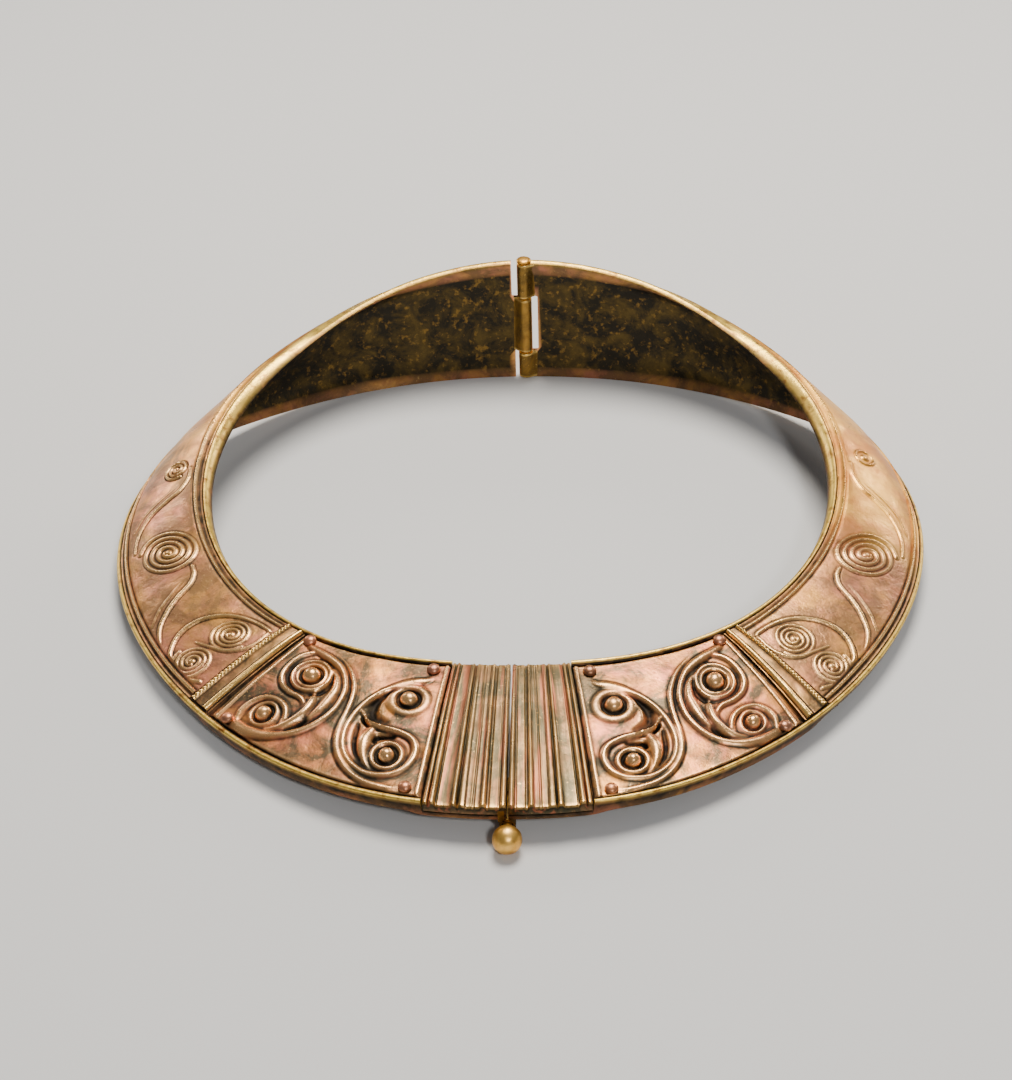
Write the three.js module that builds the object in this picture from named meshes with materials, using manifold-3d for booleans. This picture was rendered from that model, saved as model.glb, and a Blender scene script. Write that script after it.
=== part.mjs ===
// Hinged neck collar of sheet bronze, in two halves.
//
// Millimetres, +Z up. The clasp is at the front (-Y), the hinge at the back (+Y), and the collar rests on
// its clasp ball and on the lower edge of its back. Each half is one curved band. At the front the band
// lies almost flat, decorated face up, and towards the hinge it turns on edge, decorated face out.
//
// A place on the band is given as (s, q, h): s is the length along the band's middle line from the clasp
// seam, q the distance across from that line (negative towards the neck), h the height above the face.
// Both halves are worked out as the right one (x > 0) and the left one is then mirrored. The work was done by
// hand, so the same figures drift a little in opposite directions on the two halves.
import * as THREE from "three";
import { mergeVertices } from "three/addons/utils/BufferGeometryUtils.js";
import Module from "manifold-3d";

const wasm = await Module();
wasm.setup();

// ---- Driving dimensions -------------------------------------------------------------------------------

// The two edges of a half, as waves over the turn from clasp (0) to hinge (pi). "across" is the half
// width and how it swells, "along" the depth, and "rise" the height over the share of the turn done.
const NECK_EDGE = {
  across: [62.4, -0.049, -0.183],
  along: [19.2, -75.9, 1.5, 6.1],
};
const NECK_RISE = [12.7, -5.1, 17.0, 8.8];
const OUTER_EDGE = {
  across: [87.2, -0.489, 0],
  along: [-13.0, -92.0, 13.4, 1.6],
};
const OUTER_HEIGHT = 5.4; // of the outer edge along the sides
const FRONT_LIFT = 2.75; // how much higher the outer edge is at the clasp
const FRONT_LIFT_TURN = 0.35; // share of the turn over which that lift fades
const FOOT_TURN = { from: 0.81, over: 0.19 }; // share of the turn where the outer edge comes down to the floor
const FOOT_BELOW = 0.3; // the back's lower edge is made this far below the floor, and trimmed flat to it
const OUTER_LEAD = 0.471; // the outer edge's turn leads the neck edge's, so sections cross the band squarely
const SHIFT_BACK = 1.8; // moves the whole collar along Y to centre its box on the origin

const SEAM_GAP = 0.4; // between the two halves
const CLEAR = 0.3; // between pieces that touch
const SHEET = 1.2; // thickness of the band
// How far the face bows out between its edges. It bows most nearer the neck edge, and flattens at the hinge.
const CROWN = { clasp: 0.6, side: 4.2, hinge: 1.2, towardsNeck: 0.72, flattensFrom: 0.89 };
const TURN_UP = { from: 0.75, over: 0.2 }; // share of the turn where the band turns on edge

// The drift of the figures: how far they move towards the clasp on one half and away from it on the other,
// what that gains with the distance across, and how far they move across.
const DRIFT = { front: 0.75, side: 0.45, slant: 0.07, across: 1.0 };

const RIM = { width: 1.3, height: 0.5 };
// The neck rim's section as [distance past the edge, height]: a plain raised edge in front, a bead behind.
const NECK_RIM_FRONT = [
  [0, -0.7],
  [0, 0.1],
  [-0.2, RIM.height],
  [-RIM.width, RIM.height],
];
const NECK_RIM_BACK = [
  [0.8, -0.9],
  [1.3, 0.1],
  [0.6, 1.0],
  [-1.1, 0.9],
];
const GROOVE = { at: 2.0, depth: 0.1 };
const BORDER = { at: 3.0, foot: 3.9, height: 0.4 };

// Where the front pieces begin and end along the middle line.
const TERMINAL_END = 14.8;
const PANEL_START = 15.2;
const PANEL_END = 59.2;
const BAR_START = 60.2;
const BAR_END = 65.8;
const PANEL_TRAY = 1.6; // depth of the tray that the front panel lies in
const TERMINAL_TRAY = 2.4; // depth of the step that the reeded terminal lies on
const BAR_TRAY = 0.4;

const REED = { at: [0.75, 4.3, 9.0, 13.7], width: 1.3, height: 0.9, flute: -0.2 };

// Scroll bosses of the front panel: place, dome radius and height, ring radius.
const BOSSES = [
  { s: 22.8, q: -6.0, radius: 2.0, height: 1.7, ring: 3.7 },
  { s: 23.4, q: 9.5, radius: 1.8, height: 1.7, ring: 3.2 },
  { s: 48.2, q: -4.7, radius: 2.0, height: 1.7, ring: 3.9 },
  { s: 50.2, q: 8.4, radius: 1.8, height: 1.7, ring: 3.3 },
];
const RIVETS = [
  { s: 19.3, q: -16.2 },
  { s: 56.6, q: -12.8 },
  { s: 18.4, q: 16.8 },
  { s: 55.6, q: 13.0 },
];
const RIVET = { radius: 1.4, height: 1.1, shank: 0.8 };

// Raised lines of the front panel. Each point is [s, q, width, height].
const PANEL_LINES = {
  // From the neck rivet over the first boss, down the side, round the second boss and back as a crest.
  comma: [
    [20.6, -13.2, 1.6, 0.8],
    [25.5, -11.0, 2.4, 1.1],
    [30.0, -7.2, 2.2, 1.2],
    [32.7, -1.6, 1.6, 1.1],
    [32.6, 5.0, 1.5, 1.0],
    [30.4, 11.2, 1.5, 1.0],
    [25.0, 14.9, 1.6, 1.0],
    [19.6, 12.6, 1.6, 1.0],
    [18.1, 8.2, 1.5, 1.1],
    [20.4, 4.2, 1.5, 1.2],
    [25.0, 2.8, 1.7, 1.4],
    [29.4, 1.6, 2.0, 1.5],
    [31.2, -0.9, 0.9, 0.8],
  ],
  // The long S that ties the two scroll groups together.
  tie: [
    [42.0, -10.6, 1.0, 0.5],
    [37.3, -6.8, 1.2, 0.8],
    [35.2, -1.0, 1.2, 0.9],
    [34.8, 5.5, 1.2, 0.9],
    [32.6, 11.6, 1.2, 0.9],
    [27.8, 16.3, 1.2, 0.8],
    [21.6, 16.9, 1.0, 0.6],
  ],
  // From the far neck rivet round the outside of the second group, swelling into a trumpet at its end.
  sweep: [
    [54.2, -11.4, 1.8, 0.9],
    [48.5, -11.2, 2.2, 1.1],
    [42.0, -9.0, 1.9, 1.1],
    [38.0, -4.2, 1.5, 1.0],
    [37.4, 1.6, 1.5, 1.0],
    [39.4, 7.2, 1.6, 1.0],
    [43.6, 11.4, 1.9, 1.1],
    [49.0, 13.6, 2.4, 1.2],
    [53.6, 13.2, 2.0, 1.0],
  ],
  // The S between the third and fourth boss.
  tail: [
    [47.6, -9.4, 1.2, 0.8],
    [52.6, -8.0, 1.5, 1.0],
    [54.6, -4.0, 1.6, 1.1],
    [52.4, 0.2, 1.6, 1.1],
    [47.8, 2.2, 1.6, 1.1],
    [44.4, 4.8, 1.8, 1.2],
    [44.4, 9.0, 1.5, 1.1],
    [48.0, 12.0, 1.3, 0.9],
    [52.6, 11.2, 1.2, 0.8],
  ],
  // The swelling between the second boss and the comma, and the trumpet mouth beside the tail.
  tongue: [
    [28.4, 4.6, 2.2, 1.2],
    [28.8, 8.0, 2.4, 1.2],
    [27.4, 11.6, 1.2, 0.6],
  ],
  mouth: [
    [43.4, 0.6, 1.2, 0.7],
    [41.9, 3.4, 2.0, 1.2],
    [40.8, 6.0, 1.6, 0.9],
  ],
};

// Raised lines of the side panel, in low relief.
const LOW_LINE = { width: 1.4, height: 0.6 };
const SIDE_SPIRALS = [
  { s: 73.2, q: -3.2, inner: 0.6, outer: 5.0, turns: 1.75, start: 0.6, hand: 1 },
  { s: 73.0, q: 7.2, inner: 0.6, outer: 4.4, turns: 1.75, start: 2.4, hand: -1 },
  { s: 109.2, q: -0.4, inner: 0.8, outer: 7.8, turns: 2.25, start: 1.2, hand: 1 },
];
const SIDE_LINES = {
  comma: [
    [67.6, -8.4],
    [73.0, -9.2],
    [78.6, -5.8],
    [82.0, 0.4],
    [81.4, 7.0],
    [77.0, 11.2],
    [71.6, 12.0],
  ],
  link: [
    [68.0, -3.4],
    [69.0, 1.2],
    [67.6, 5.4],
    [68.6, 9.6],
  ],
  wave: [
    [83.4, 8.4],
    [89.0, 4.6],
    [94.0, -0.6],
    [98.4, -4.8],
    [101.4, -6.4],
  ],
  tendril: [
    [117.0, 3.6],
    [122.4, 4.6],
    [128.6, 1.2],
    [134.0, -3.8],
    [138.6, -6.6],
  ],
};
const EYE = { s: 144.6, q: -1.6, radius: 1.3, height: 0.8, ring: 3.0 };

const HINGE = { y: 91.5, radius: 1.9, bore: 1.15, pin: 0.85, slot: 3.5, narrowSlot: 2.8 };
const KNUCKLES = { bottom: [0.2, 7.6], middle: [8.0, 23.8], top: [24.2, 34.3] };
const PIN_HEAD = { radius: 1.95, height: 0.9 };

const CLASP = { z: 3.1, loop: 1.7, bore: 1.25, pin: 0.95, length: 4.0, gap: 0.4, front: -88.1 };
const CLASP_BALL = { radius: 3.1, y: -92.1 };
const CLASP_PIN_END = -74.5;

const COLOURS = {
  band: 0x9a6446,
  panel: 0x9c6a50,
  rivet: 0x7d5138,
  pin: 0xa98a4e,
};

// ---- The band's surface -------------------------------------------------------------------------------

const turnShare = (t) => (1 - Math.cos(t)) / 2;

function smoothStep(x) {
  const c = THREE.MathUtils.clamp(x, 0, 1);
  return c * c * (3 - 2 * c);
}

function planPoint(edge, t) {
  const [half, swell, pinch] = edge.across;
  const x = half * Math.sin(t) * (1 + swell * Math.cos(t) + pinch * Math.cos(2 * t));
  const y = edge.along.reduce((sum, a, k) => sum + a * Math.cos(k * t), 0);
  return new THREE.Vector3(x, y, 0);
}

function neckEdge(t) {
  const c = turnShare(t);
  const point = planPoint(NECK_EDGE, t);
  point.z = NECK_RISE.reduce((sum, a, k) => sum + a * c ** k, 0);
  return point;
}

function outerEdge(t) {
  const c = turnShare(t);
  const lift = FRONT_LIFT * Math.max(0, 1 - c / FRONT_LIFT_TURN) ** 2;
  const drop = smoothStep((c - FOOT_TURN.from) / FOOT_TURN.over);
  const point = planPoint(OUTER_EDGE, t);
  point.z = (OUTER_HEIGHT + lift) * (1 - drop) - FOOT_BELOW * drop;
  return point;
}

function ruledPoint(t, u) {
  return neckEdge(t).lerp(outerEdge(t + OUTER_LEAD * Math.sin(t)), u);
}

function faceNormal(t, u) {
  const step = 1e-3;
  const alongT = ruledPoint(t + step, u).sub(ruledPoint(t - step, u));
  const alongU = ruledPoint(t, u + step).sub(ruledPoint(t, u - step));
  return alongU.cross(alongT).normalize();
}

// 0 where the band lies flat, 1 where it stands on edge.
const onEdge = (t) => smoothStep((turnShare(t) - TURN_UP.from) / TURN_UP.over);

function crown(t, u) {
  const share = turnShare(t);
  const side = CROWN.clasp + (CROWN.side - CROWN.clasp) * smoothStep(share / TURN_UP.from);
  const flattened = smoothStep((share - CROWN.flattensFrom) / (1 - CROWN.flattensFrom));
  const depth = THREE.MathUtils.lerp(side, CROWN.hinge, flattened);
  const across = 2 * u ** CROWN.towardsNeck - 1;
  return depth * (1 - Math.abs(across) ** (2 + 2 * smoothStep(share)));
}

function bandWidth(t) {
  return ruledPoint(t, 0).distanceTo(ruledPoint(t, 1));
}

const TURN_STEPS = 720;
const midline = [{ t: 0, s: 0 }];
for (let i = 1; i <= TURN_STEPS; i++) {
  const t = (Math.PI * i) / TURN_STEPS;
  const last = midline[i - 1];
  midline.push({ t, s: last.s + ruledPoint(t, 0.5).distanceTo(ruledPoint(last.t, 0.5)) });
}
const BAND_LENGTH = midline[TURN_STEPS].s;

function turnAt(s) {
  const slope = (BAND_LENGTH - midline[TURN_STEPS - 1].s) / (Math.PI / TURN_STEPS);
  if (s <= 0) return s / slope;
  if (s >= BAND_LENGTH) return Math.PI + (s - BAND_LENGTH) / slope;
  const i = midline.findIndex((m) => m.s >= s);
  const [a, b] = [midline[i - 1], midline[i]];
  return a.t + ((b.t - a.t) * (s - a.s)) / (b.s - a.s);
}

const widthAt = (s) => bandWidth(turnAt(s));

// Where a figure meant for (s, q) really is: drift is 1 on the right half, -1 on the left one.
function drifted(drift, s, q) {
  const pastPanel = smoothStep((s - 58) / 12);
  const front = DRIFT.front * smoothStep((s - 20) / 32) + DRIFT.side * pastPanel;
  const along = front - (DRIFT.front + DRIFT.side) * smoothStep((s - 112) / 28);
  const slant = DRIFT.slant * smoothStep((s - 28) / 18) * (1 - pastPanel);
  const across = DRIFT.across * smoothStep(s / 15) * (1 - smoothStep((s - 60) / 20));
  const inside = Math.max(0, 1 - ((2 * q) / widthAt(s)) ** 2);
  return [s - drift * (along + slant * q), q + drift * across * inside];
}

// The face of one half, as a function that gives the point at (s, q, h).
function faceOf(drift) {
  return (s0, q0, h) => {
    const [s, q] = drifted(drift, s0, q0);
    const t = turnAt(s);
    const u = 0.5 + q / bandWidth(t);
    const out = crown(t, THREE.MathUtils.clamp(u, 0, 1)) + SHEET * onEdge(t) + h;
    const point = ruledPoint(t, u).addScaledVector(faceNormal(t, u), out);
    return point.add(new THREE.Vector3(SEAM_GAP / 2, SHIFT_BACK, 0));
  };
}

// How much longer a step along s is at (s, q) than on the middle line.
function stretch(face, s, q) {
  return face(s + 0.5, q, 0).distanceTo(face(s - 0.5, q, 0));
}

// ---- Solids -------------------------------------------------------------------------------------------

function solidOf(geometry) {
  const bare = geometry.clone();
  bare.deleteAttribute("normal");
  bare.deleteAttribute("uv");
  const merged = mergeVertices(bare, 1e-4);
  const vertProperties = merged.attributes.position.array;
  const faces = new Uint32Array(merged.index.array);
  const make = (triVerts) => new wasm.Manifold(new wasm.Mesh({ numProp: 3, vertProperties, triVerts }));
  const made = make(faces);
  return made.volume() < 0 ? make(faces.reverse()) : made;
}

function geometryOf(solid, mirrored) {
  const { numProp, vertProperties, triVerts } = solid.getMesh();
  const positions = [];
  for (let i = 0; i < vertProperties.length; i += numProp) positions.push(...vertProperties.slice(i, i + 3));
  const geometry = new THREE.BufferGeometry();
  geometry.setAttribute("position", new THREE.Float32BufferAttribute(positions, 3));
  geometry.setIndex([...(mirrored ? triVerts.reverse() : triVerts)]);
  if (mirrored) geometry.scale(-1, 1, 1);
  geometry.computeVertexNormals();
  return geometry;
}

const join = (solids) => solids.reduce((all, one) => all.add(one));

// The triangles that close a ring, turned the way the ring runs.
function capFaces(outline) {
  const area = THREE.ShapeUtils.area(outline);
  return THREE.ShapeUtils.triangulateShape(outline, []).map(([a, b, c]) => {
    const turned = THREE.ShapeUtils.area([outline[a], outline[b], outline[c]]) * area < 0;
    return turned ? [a, c, b] : [a, b, c];
  });
}

// A solid through a row of rings. outline(i) is ring i flat, as Vector2 points, and place(i, x, y) puts a
// flat point of ring i in space. A closed row runs on from its last ring into its first.
function loft(count, outline, place, closed = false) {
  const flat = Array.from({ length: count }, (_, i) => outline(i));
  const n = flat[0].length;
  const positions = flat.flatMap((ring, i) => ring.flatMap((p) => place(i, p.x, p.y).toArray()));
  const index = [];
  for (let i = 0; i < (closed ? count : count - 1); i++) {
    const here = i * n;
    const next = ((i + 1) % count) * n;
    for (let j = 0; j < n; j++) {
      const k = (j + 1) % n;
      index.push(here + j, here + k, next + k, here + j, next + k, next + j);
    }
  }
  if (!closed) {
    const last = (count - 1) * n;
    capFaces(flat[0]).forEach(([a, b, c]) => index.push(a, c, b));
    capFaces(flat[count - 1]).forEach(([a, b, c]) => index.push(last + a, last + b, last + c));
  }
  const geometry = new THREE.BufferGeometry();
  geometry.setAttribute("position", new THREE.Float32BufferAttribute(positions, 3));
  geometry.setIndex(index);
  return solidOf(geometry);
}

const flatPoints = (pairs) => pairs.map(([x, y]) => new THREE.Vector2(x, y));

// Even steps of about the given size, ends included.
function steps(from, to, size) {
  const n = Math.max(1, Math.round((to - from) / size));
  return Array.from({ length: n + 1 }, (_, i) => from + ((to - from) * i) / n);
}

// A slab on the band from one s to another: low and high give its two faces' heights, inset what it
// leaves free at each edge.
function slab(face, from, to, stepSize, inset, low, high) {
  const stations = steps(from, to, stepSize);
  const shares = [-1, 0, 1];
  const outline = (i) => {
    const reach = widthAt(stations[i]) / 2 - inset;
    const top = shares.map((f) => [f * reach, high]);
    const bottom = shares.map((f) => [-f * reach, low]);
    return flatPoints([...top, ...bottom]);
  };
  return loft(stations.length, outline, (i, q, h) => face(stations[i], q, h));
}

// A strip that crosses the band, with its profile drawn over s: profile is a list of [s, h].
function crossStrip(face, profile, inset, rows) {
  const shares = Array.from({ length: rows }, (_, i) => (2 * i) / (rows - 1) - 1);
  const place = (i, s, h) => face(s, shares[i] * (widthAt(s) / 2 - inset), h);
  return loft(rows, () => flatPoints(profile), place);
}

// ---- Relief -------------------------------------------------------------------------------------------

const SINK = 0.45; // how far raised work reaches into the sheet that carries it

// A raised line with a ridged section. points are [s, q, width, height].
function raisedLine(face, points, spacing, closed = false) {
  const path = new THREE.CatmullRomCurve3(
    points.map(([s, q]) => new THREE.Vector3(s, q, 0)),
    closed,
  );
  const sizes = new THREE.CatmullRomCurve3(
    points.map(([, , width, height]) => new THREE.Vector3(width, height, 0)),
    closed,
  );
  const count = Math.max(3, Math.round(path.getLength() / spacing)) + 1;
  const stops = Array.from({ length: count }, (_, i) => i / (closed ? count : count - 1));
  const at = stops.map((f) => path.getPointAt(f));
  const along = stops.map((f) => path.getTangentAt(f));
  const size = stops.map((f) => sizes.getPoint(path.getUtoTmapping(f)));
  const outline = (i) => {
    const { x: width, y: height } = size[i];
    return flatPoints([
      [-width / 2, -SINK],
      [0, height],
      [width / 2, -SINK],
    ]);
  };
  const place = (i, x, h) => {
    const k = stretch(face, at[i].x, at[i].y);
    return face(at[i].x - (along[i].y * x) / k, at[i].y + along[i].x * x, h);
  };
  return loft(count, outline, place, closed);
}

function spiralPoints(face, { s, q, inner, outer, turns, start, hand }) {
  const k = stretch(face, s, q);
  return steps(0, turns, 0.12).map((turn) => {
    const r = inner + ((outer - inner) * turn) / turns;
    const angle = start + hand * turn * 2 * Math.PI;
    return [s + (r * Math.cos(angle)) / k, q + r * Math.sin(angle), LOW_LINE.width, LOW_LINE.height];
  });
}

function raisedRing(face, s, q, radius, width, height) {
  const k = stretch(face, s, q);
  const points = steps(0, 324, 36).map((degrees) => {
    const a = THREE.MathUtils.degToRad(degrees);
    return [s + (radius * Math.cos(a)) / k, q + radius * Math.sin(a), width, height];
  });
  return raisedLine(face, points, (2 * Math.PI * radius) / 10, true);
}

// A solid of revolution standing on the face at (s, q). profile is a list of [radius, height].
function turned(face, s, q, profile, sides) {
  const geometry = new THREE.LatheGeometry(flatPoints(profile), sides);
  const up = face(s, q, 1).sub(face(s, q, 0)).normalize();
  geometry.applyQuaternion(new THREE.Quaternion().setFromUnitVectors(new THREE.Vector3(0, 1, 0), up));
  geometry.translate(...face(s, q, 0).toArray());
  return solidOf(geometry);
}

// A round head: a quarter-wave profile from the foot at the given level up to the top.
function domeProfile(radius, height, level, rings) {
  const arc = steps(0, 90, 90 / rings).map((degrees) => {
    const a = THREE.MathUtils.degToRad(degrees);
    return [radius * Math.cos(a), level + height * Math.sin(a)];
  });
  arc[arc.length - 1][0] = 0;
  return arc;
}

const dome = (face, s, q, radius, height) =>
  turned(face, s, q, [[0, -SINK], [radius, -SINK], ...domeProfile(radius, height, 0, 2)], 8);

// ---- Pieces of one half -------------------------------------------------------------------------------

// The band's section at one station: rim, groove and border line at each edge, plain face between.
function bandSection(s) {
  const edge = widthAt(s) / 2;
  const back = onEdge(turnAt(s));
  const neckRim = NECK_RIM_FRONT.map(([past, h], i) => [
    -edge - THREE.MathUtils.lerp(past, NECK_RIM_BACK[i][0], back),
    THREE.MathUtils.lerp(h, NECK_RIM_BACK[i][1], back),
  ]);
  const line = [
    [edge - GROOVE.at, -GROOVE.depth],
    [edge - BORDER.at, BORDER.height],
    [edge - BORDER.foot, 0],
    [edge * 0.35, 0],
  ];
  const neckLine = line.map(([q, h]) => [-q, h]);
  const outerRim = [
    [edge - RIM.width, RIM.height],
    [edge, RIM.height],
  ];
  const trays = PANEL_TRAY * (1 - smoothStep((s - BAR_START) / (BAR_END - BAR_START)));
  const step = (TERMINAL_TRAY - PANEL_TRAY) * (1 - smoothStep((s - TERMINAL_END) / 4));
  const under = -(SHEET + trays + step);
  const inner = [1, 0.5, 0, -0.5, -1].map((f) => [f * edge, under]);
  return flatPoints([...neckRim, ...neckLine, ...line.reverse(), ...outerRim, ...inner]);
}

function bandStations() {
  return [
    ...steps(0, PANEL_START, 5),
    ...steps(PANEL_START, BAR_START, 5.6).slice(1),
    ...steps(BAR_START, BAR_END, 3).slice(1),
    ...steps(BAR_END, BAND_LENGTH, 9.4).slice(1),
  ];
}

function sideRelief(face) {
  const low = (points) => points.map(([s, q]) => [s, q, LOW_LINE.width, LOW_LINE.height]);
  return [
    ...Object.values(SIDE_LINES).map((points) => raisedLine(face, low(points), 4.4)),
    ...SIDE_SPIRALS.map((spiral) => raisedLine(face, spiralPoints(face, spiral), 2.6)),
    dome(face, EYE.s, EYE.q, EYE.radius, EYE.height),
    raisedRing(face, EYE.s, EYE.q, EYE.ring, LOW_LINE.width, LOW_LINE.height),
  ];
}

// An upright or lying cylinder with its axis through (x, y, z) at its middle.
function cylinder(radius, length, axis, x, y, z, sides = 16) {
  const geometry = new THREE.CylinderGeometry(radius, radius, length, sides);
  if (axis === "z") geometry.rotateX(Math.PI / 2);
  geometry.translate(x, y, z);
  return solidOf(geometry);
}

function upright(radius, [low, high]) {
  return cylinder(radius, high - low, "z", 0, HINGE.y + SHIFT_BACK, (low + high) / 2);
}

function block(width, depth, height, x, y, z) {
  return solidOf(new THREE.BoxGeometry(width, depth, height).translate(x, y, z));
}

// Cuts the room for the other half's knuckles, and adds this half's own with the pin's bore through them.
function withKnuckles(band, own, others) {
  const cuts = others.map(({ span, radius }) => upright(radius, [span[0] - 0.4, span[1] + 0.4]));
  const added = own.map((span) => upright(HINGE.radius, span));
  const bore = upright(HINGE.bore, [-5, 40]);
  return join([band.subtract(join(cuts)), ...added]).subtract(bore);
}

// Loops under the clasp seam, that the clasp pin runs through. A loop of the right half is open towards
// the seam, so that the halves part with the pin still in the left one.
function withClaspLoops(face, band, places, open) {
  const span = 3 * CLASP.length + 2 * CLASP.gap;
  const middle = CLASP.front + span / 2;
  const room = cylinder(CLASP.loop + CLEAR, span + 2, "y", 0, middle, CLASP.z, 16);
  const loops = places.flatMap((i) => {
    const y = CLASP.front + i * (CLASP.length + CLASP.gap) + CLASP.length / 2;
    const web = block(1.5, CLASP.length, 3.4, 1.25, y, CLASP.z + 1.7);
    return [cylinder(CLASP.loop, CLASP.length, "y", 0, y, CLASP.z, 16), web];
  });
  const bore = cylinder(CLASP.bore, span + 2, "y", 0, middle, CLASP.z, 16);
  const mouth = block(4, span + 2, 2 * CLASP.bore, -2, middle, CLASP.z);
  const tray = slab(face, -3, TERMINAL_END + CLEAR, 5, -3, -TERMINAL_TRAY, 9);
  const made = join([band.subtract(room), join(loops).subtract(tray)]).subtract(bore);
  return open ? made.subtract(mouth) : made;
}

function band(face, right) {
  const stations = bandStations();
  const sheet = loft(
    stations.length,
    (i) => bandSection(stations[i]),
    (i, q, h) => face(stations[i], q, h),
  );
  const trays = join([
    slab(face, -3, TERMINAL_END + CLEAR, 5, -3, -TERMINAL_TRAY, 5),
    slab(face, PANEL_START - 0.4, BAR_START, 5.6, RIM.width, -PANEL_TRAY, 5),
    slab(face, BAR_START - 0.3, BAR_END + 0.3, 3, RIM.width, -BAR_TRAY, 5),
  ]);
  const relief = join(sideRelief(face));
  const holes = join(RIVETS.map(({ s, q }) => turned(face, s, q, rivetHole(), 8)));
  const below = block(300, 300, 20, 0, 0, -10);
  const plain = sheet.subtract(trays).add(relief).subtract(holes).subtract(below);
  const { bottom, middle, top } = KNUCKLES;
  const hinged = right
    ? withKnuckles(plain, [bottom, top], [{ span: middle, radius: HINGE.slot }])
    : withKnuckles(
        plain,
        [middle],
        [
          { span: [bottom[0] - 5, bottom[1]], radius: HINGE.narrowSlot },
          { span: [top[0], top[1] + 8], radius: HINGE.slot },
        ],
      );
  return withClaspLoops(face, hinged, right ? [1] : [0, 2], right);
}

function rivetHole() {
  const r = RIVET.shank + CLEAR;
  return [
    [0, -6],
    [r, -6],
    [r, 3],
    [0, 3],
  ];
}

function frontPanel(face) {
  const plate = slab(face, PANEL_START, PANEL_END, 5.5, RIM.width + CLEAR, -PANEL_TRAY + CLEAR, 0);
  const lines = Object.values(PANEL_LINES).map((points) => raisedLine(face, points, 3.4));
  const rings = BOSSES.map(({ s, q, ring }) => raisedRing(face, s, q, ring, 1.4, 0.9));
  const domes = BOSSES.map(({ s, q, radius, height }) => dome(face, s, q, radius, height));
  const holes = RIVETS.map(({ s, q }) => turned(face, s, q, rivetHole(), 8));
  return join([plate, ...lines, ...rings, ...domes]).subtract(join(holes));
}

function rivet(face, { s, q }) {
  const foot = -PANEL_TRAY - SHEET;
  const seat = CLEAR;
  const head = domeProfile(RIVET.radius, RIVET.height, seat, 2);
  return turned(face, s, q, [[0, foot], [RIVET.shank, foot], [RIVET.shank, seat], ...head], 8);
}

// The reeded end piece beside the clasp seam.
function terminal(face) {
  const { at, width, height, flute } = REED;
  const reeds = at.flatMap((s, i) => [
    [Math.max(0, s - width / 2), i ? height * 0.75 : height],
    [s, height],
    [s + width / 2, height * 0.75],
    ...(i < at.length - 1
      ? [
          [s + width, flute],
          [at[i + 1] - width, flute],
        ]
      : []),
  ]);
  const under = -TERMINAL_TRAY + CLEAR;
  const bottom = [TERMINAL_END, TERMINAL_END / 2, 0].map((s) => [s, under]);
  return crossStrip(face, [...reeds, [TERMINAL_END, flute], ...bottom], 0, 5);
}

// The bar between the front panel and the side panel: a smooth line, a flat and the beaded line's bed.
function crossBar(face) {
  const under = -BAR_TRAY + CLEAR;
  const profile = [
    [BAR_START, 0.3],
    [BAR_START + 0.5, 0.9],
    [BAR_START + 1.3, 0.9],
    [BAR_START + 1.8, 0.4],
    [BAR_END - 1.9, 0.4],
    [BAR_END - 1.4, 0.95],
    [BAR_END - 0.6, 0.95],
    [BAR_END, 0.3],
    [BAR_END, under],
    [BAR_START, under],
  ];
  return crossStrip(face, profile, RIM.width + CLEAR, 5);
}

// ---- Pins ---------------------------------------------------------------------------------------------

function hingePin() {
  const foot = KNUCKLES.bottom[0] + 0.1;
  const seat = KNUCKLES.top[1] + CLEAR;
  const head = domeProfile(PIN_HEAD.radius, PIN_HEAD.height, seat, 3);
  const profile = [[0, foot], [HINGE.pin, foot], [HINGE.pin, seat], ...head];
  const geometry = new THREE.LatheGeometry(flatPoints(profile), 16);
  geometry.rotateX(Math.PI / 2);
  geometry.translate(0, HINGE.y + SHIFT_BACK, 0);
  return solidOf(geometry);
}

function claspPin() {
  const ball = new THREE.SphereGeometry(CLASP_BALL.radius, 16, 12).translate(0, CLASP_BALL.y, CLASP.z);
  const length = CLASP_PIN_END - CLASP_BALL.y;
  const shaft = cylinder(CLASP.pin, length, "y", 0, CLASP_BALL.y + length / 2, CLASP.z, 12);
  return solidOf(ball).add(shaft);
}

// ---- The collar ---------------------------------------------------------------------------------------

function material(colour) {
  return new THREE.MeshStandardMaterial({ color: colour, roughness: 0.45, metalness: 0.85 });
}

const collar = new THREE.Group();
collar.name = "collar";

function addPiece(group, name, solid, colour, mirrored = false) {
  const mesh = new THREE.Mesh(geometryOf(solid, mirrored), material(colour));
  mesh.name = name;
  group.add(mesh);
}

for (const side of ["right", "left"]) {
  const mirrored = side === "left";
  const face = faceOf(mirrored ? -1 : 1);
  const half = new THREE.Group();
  addPiece(half, `${side}_band`, band(face, !mirrored), COLOURS.band, mirrored);
  addPiece(half, `${side}_front_panel`, frontPanel(face), COLOURS.panel, mirrored);
  addPiece(half, `${side}_terminal`, terminal(face), COLOURS.panel, mirrored);
  addPiece(half, `${side}_cross_bar`, crossBar(face), COLOURS.band, mirrored);
  RIVETS.forEach((place, i) => {
    addPiece(half, `${side}_rivet_${i + 1}`, rivet(face, place), COLOURS.rivet, mirrored);
  });
  collar.add(half);
}
addPiece(collar, "hinge_pin", hingePin(), COLOURS.pin);
addPiece(collar, "clasp_pin", claspPin(), COLOURS.pin);

export default collar;
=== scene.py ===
import math

import bmesh
import bpy
import numpy as np
from mathutils import Matrix, Vector


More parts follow.
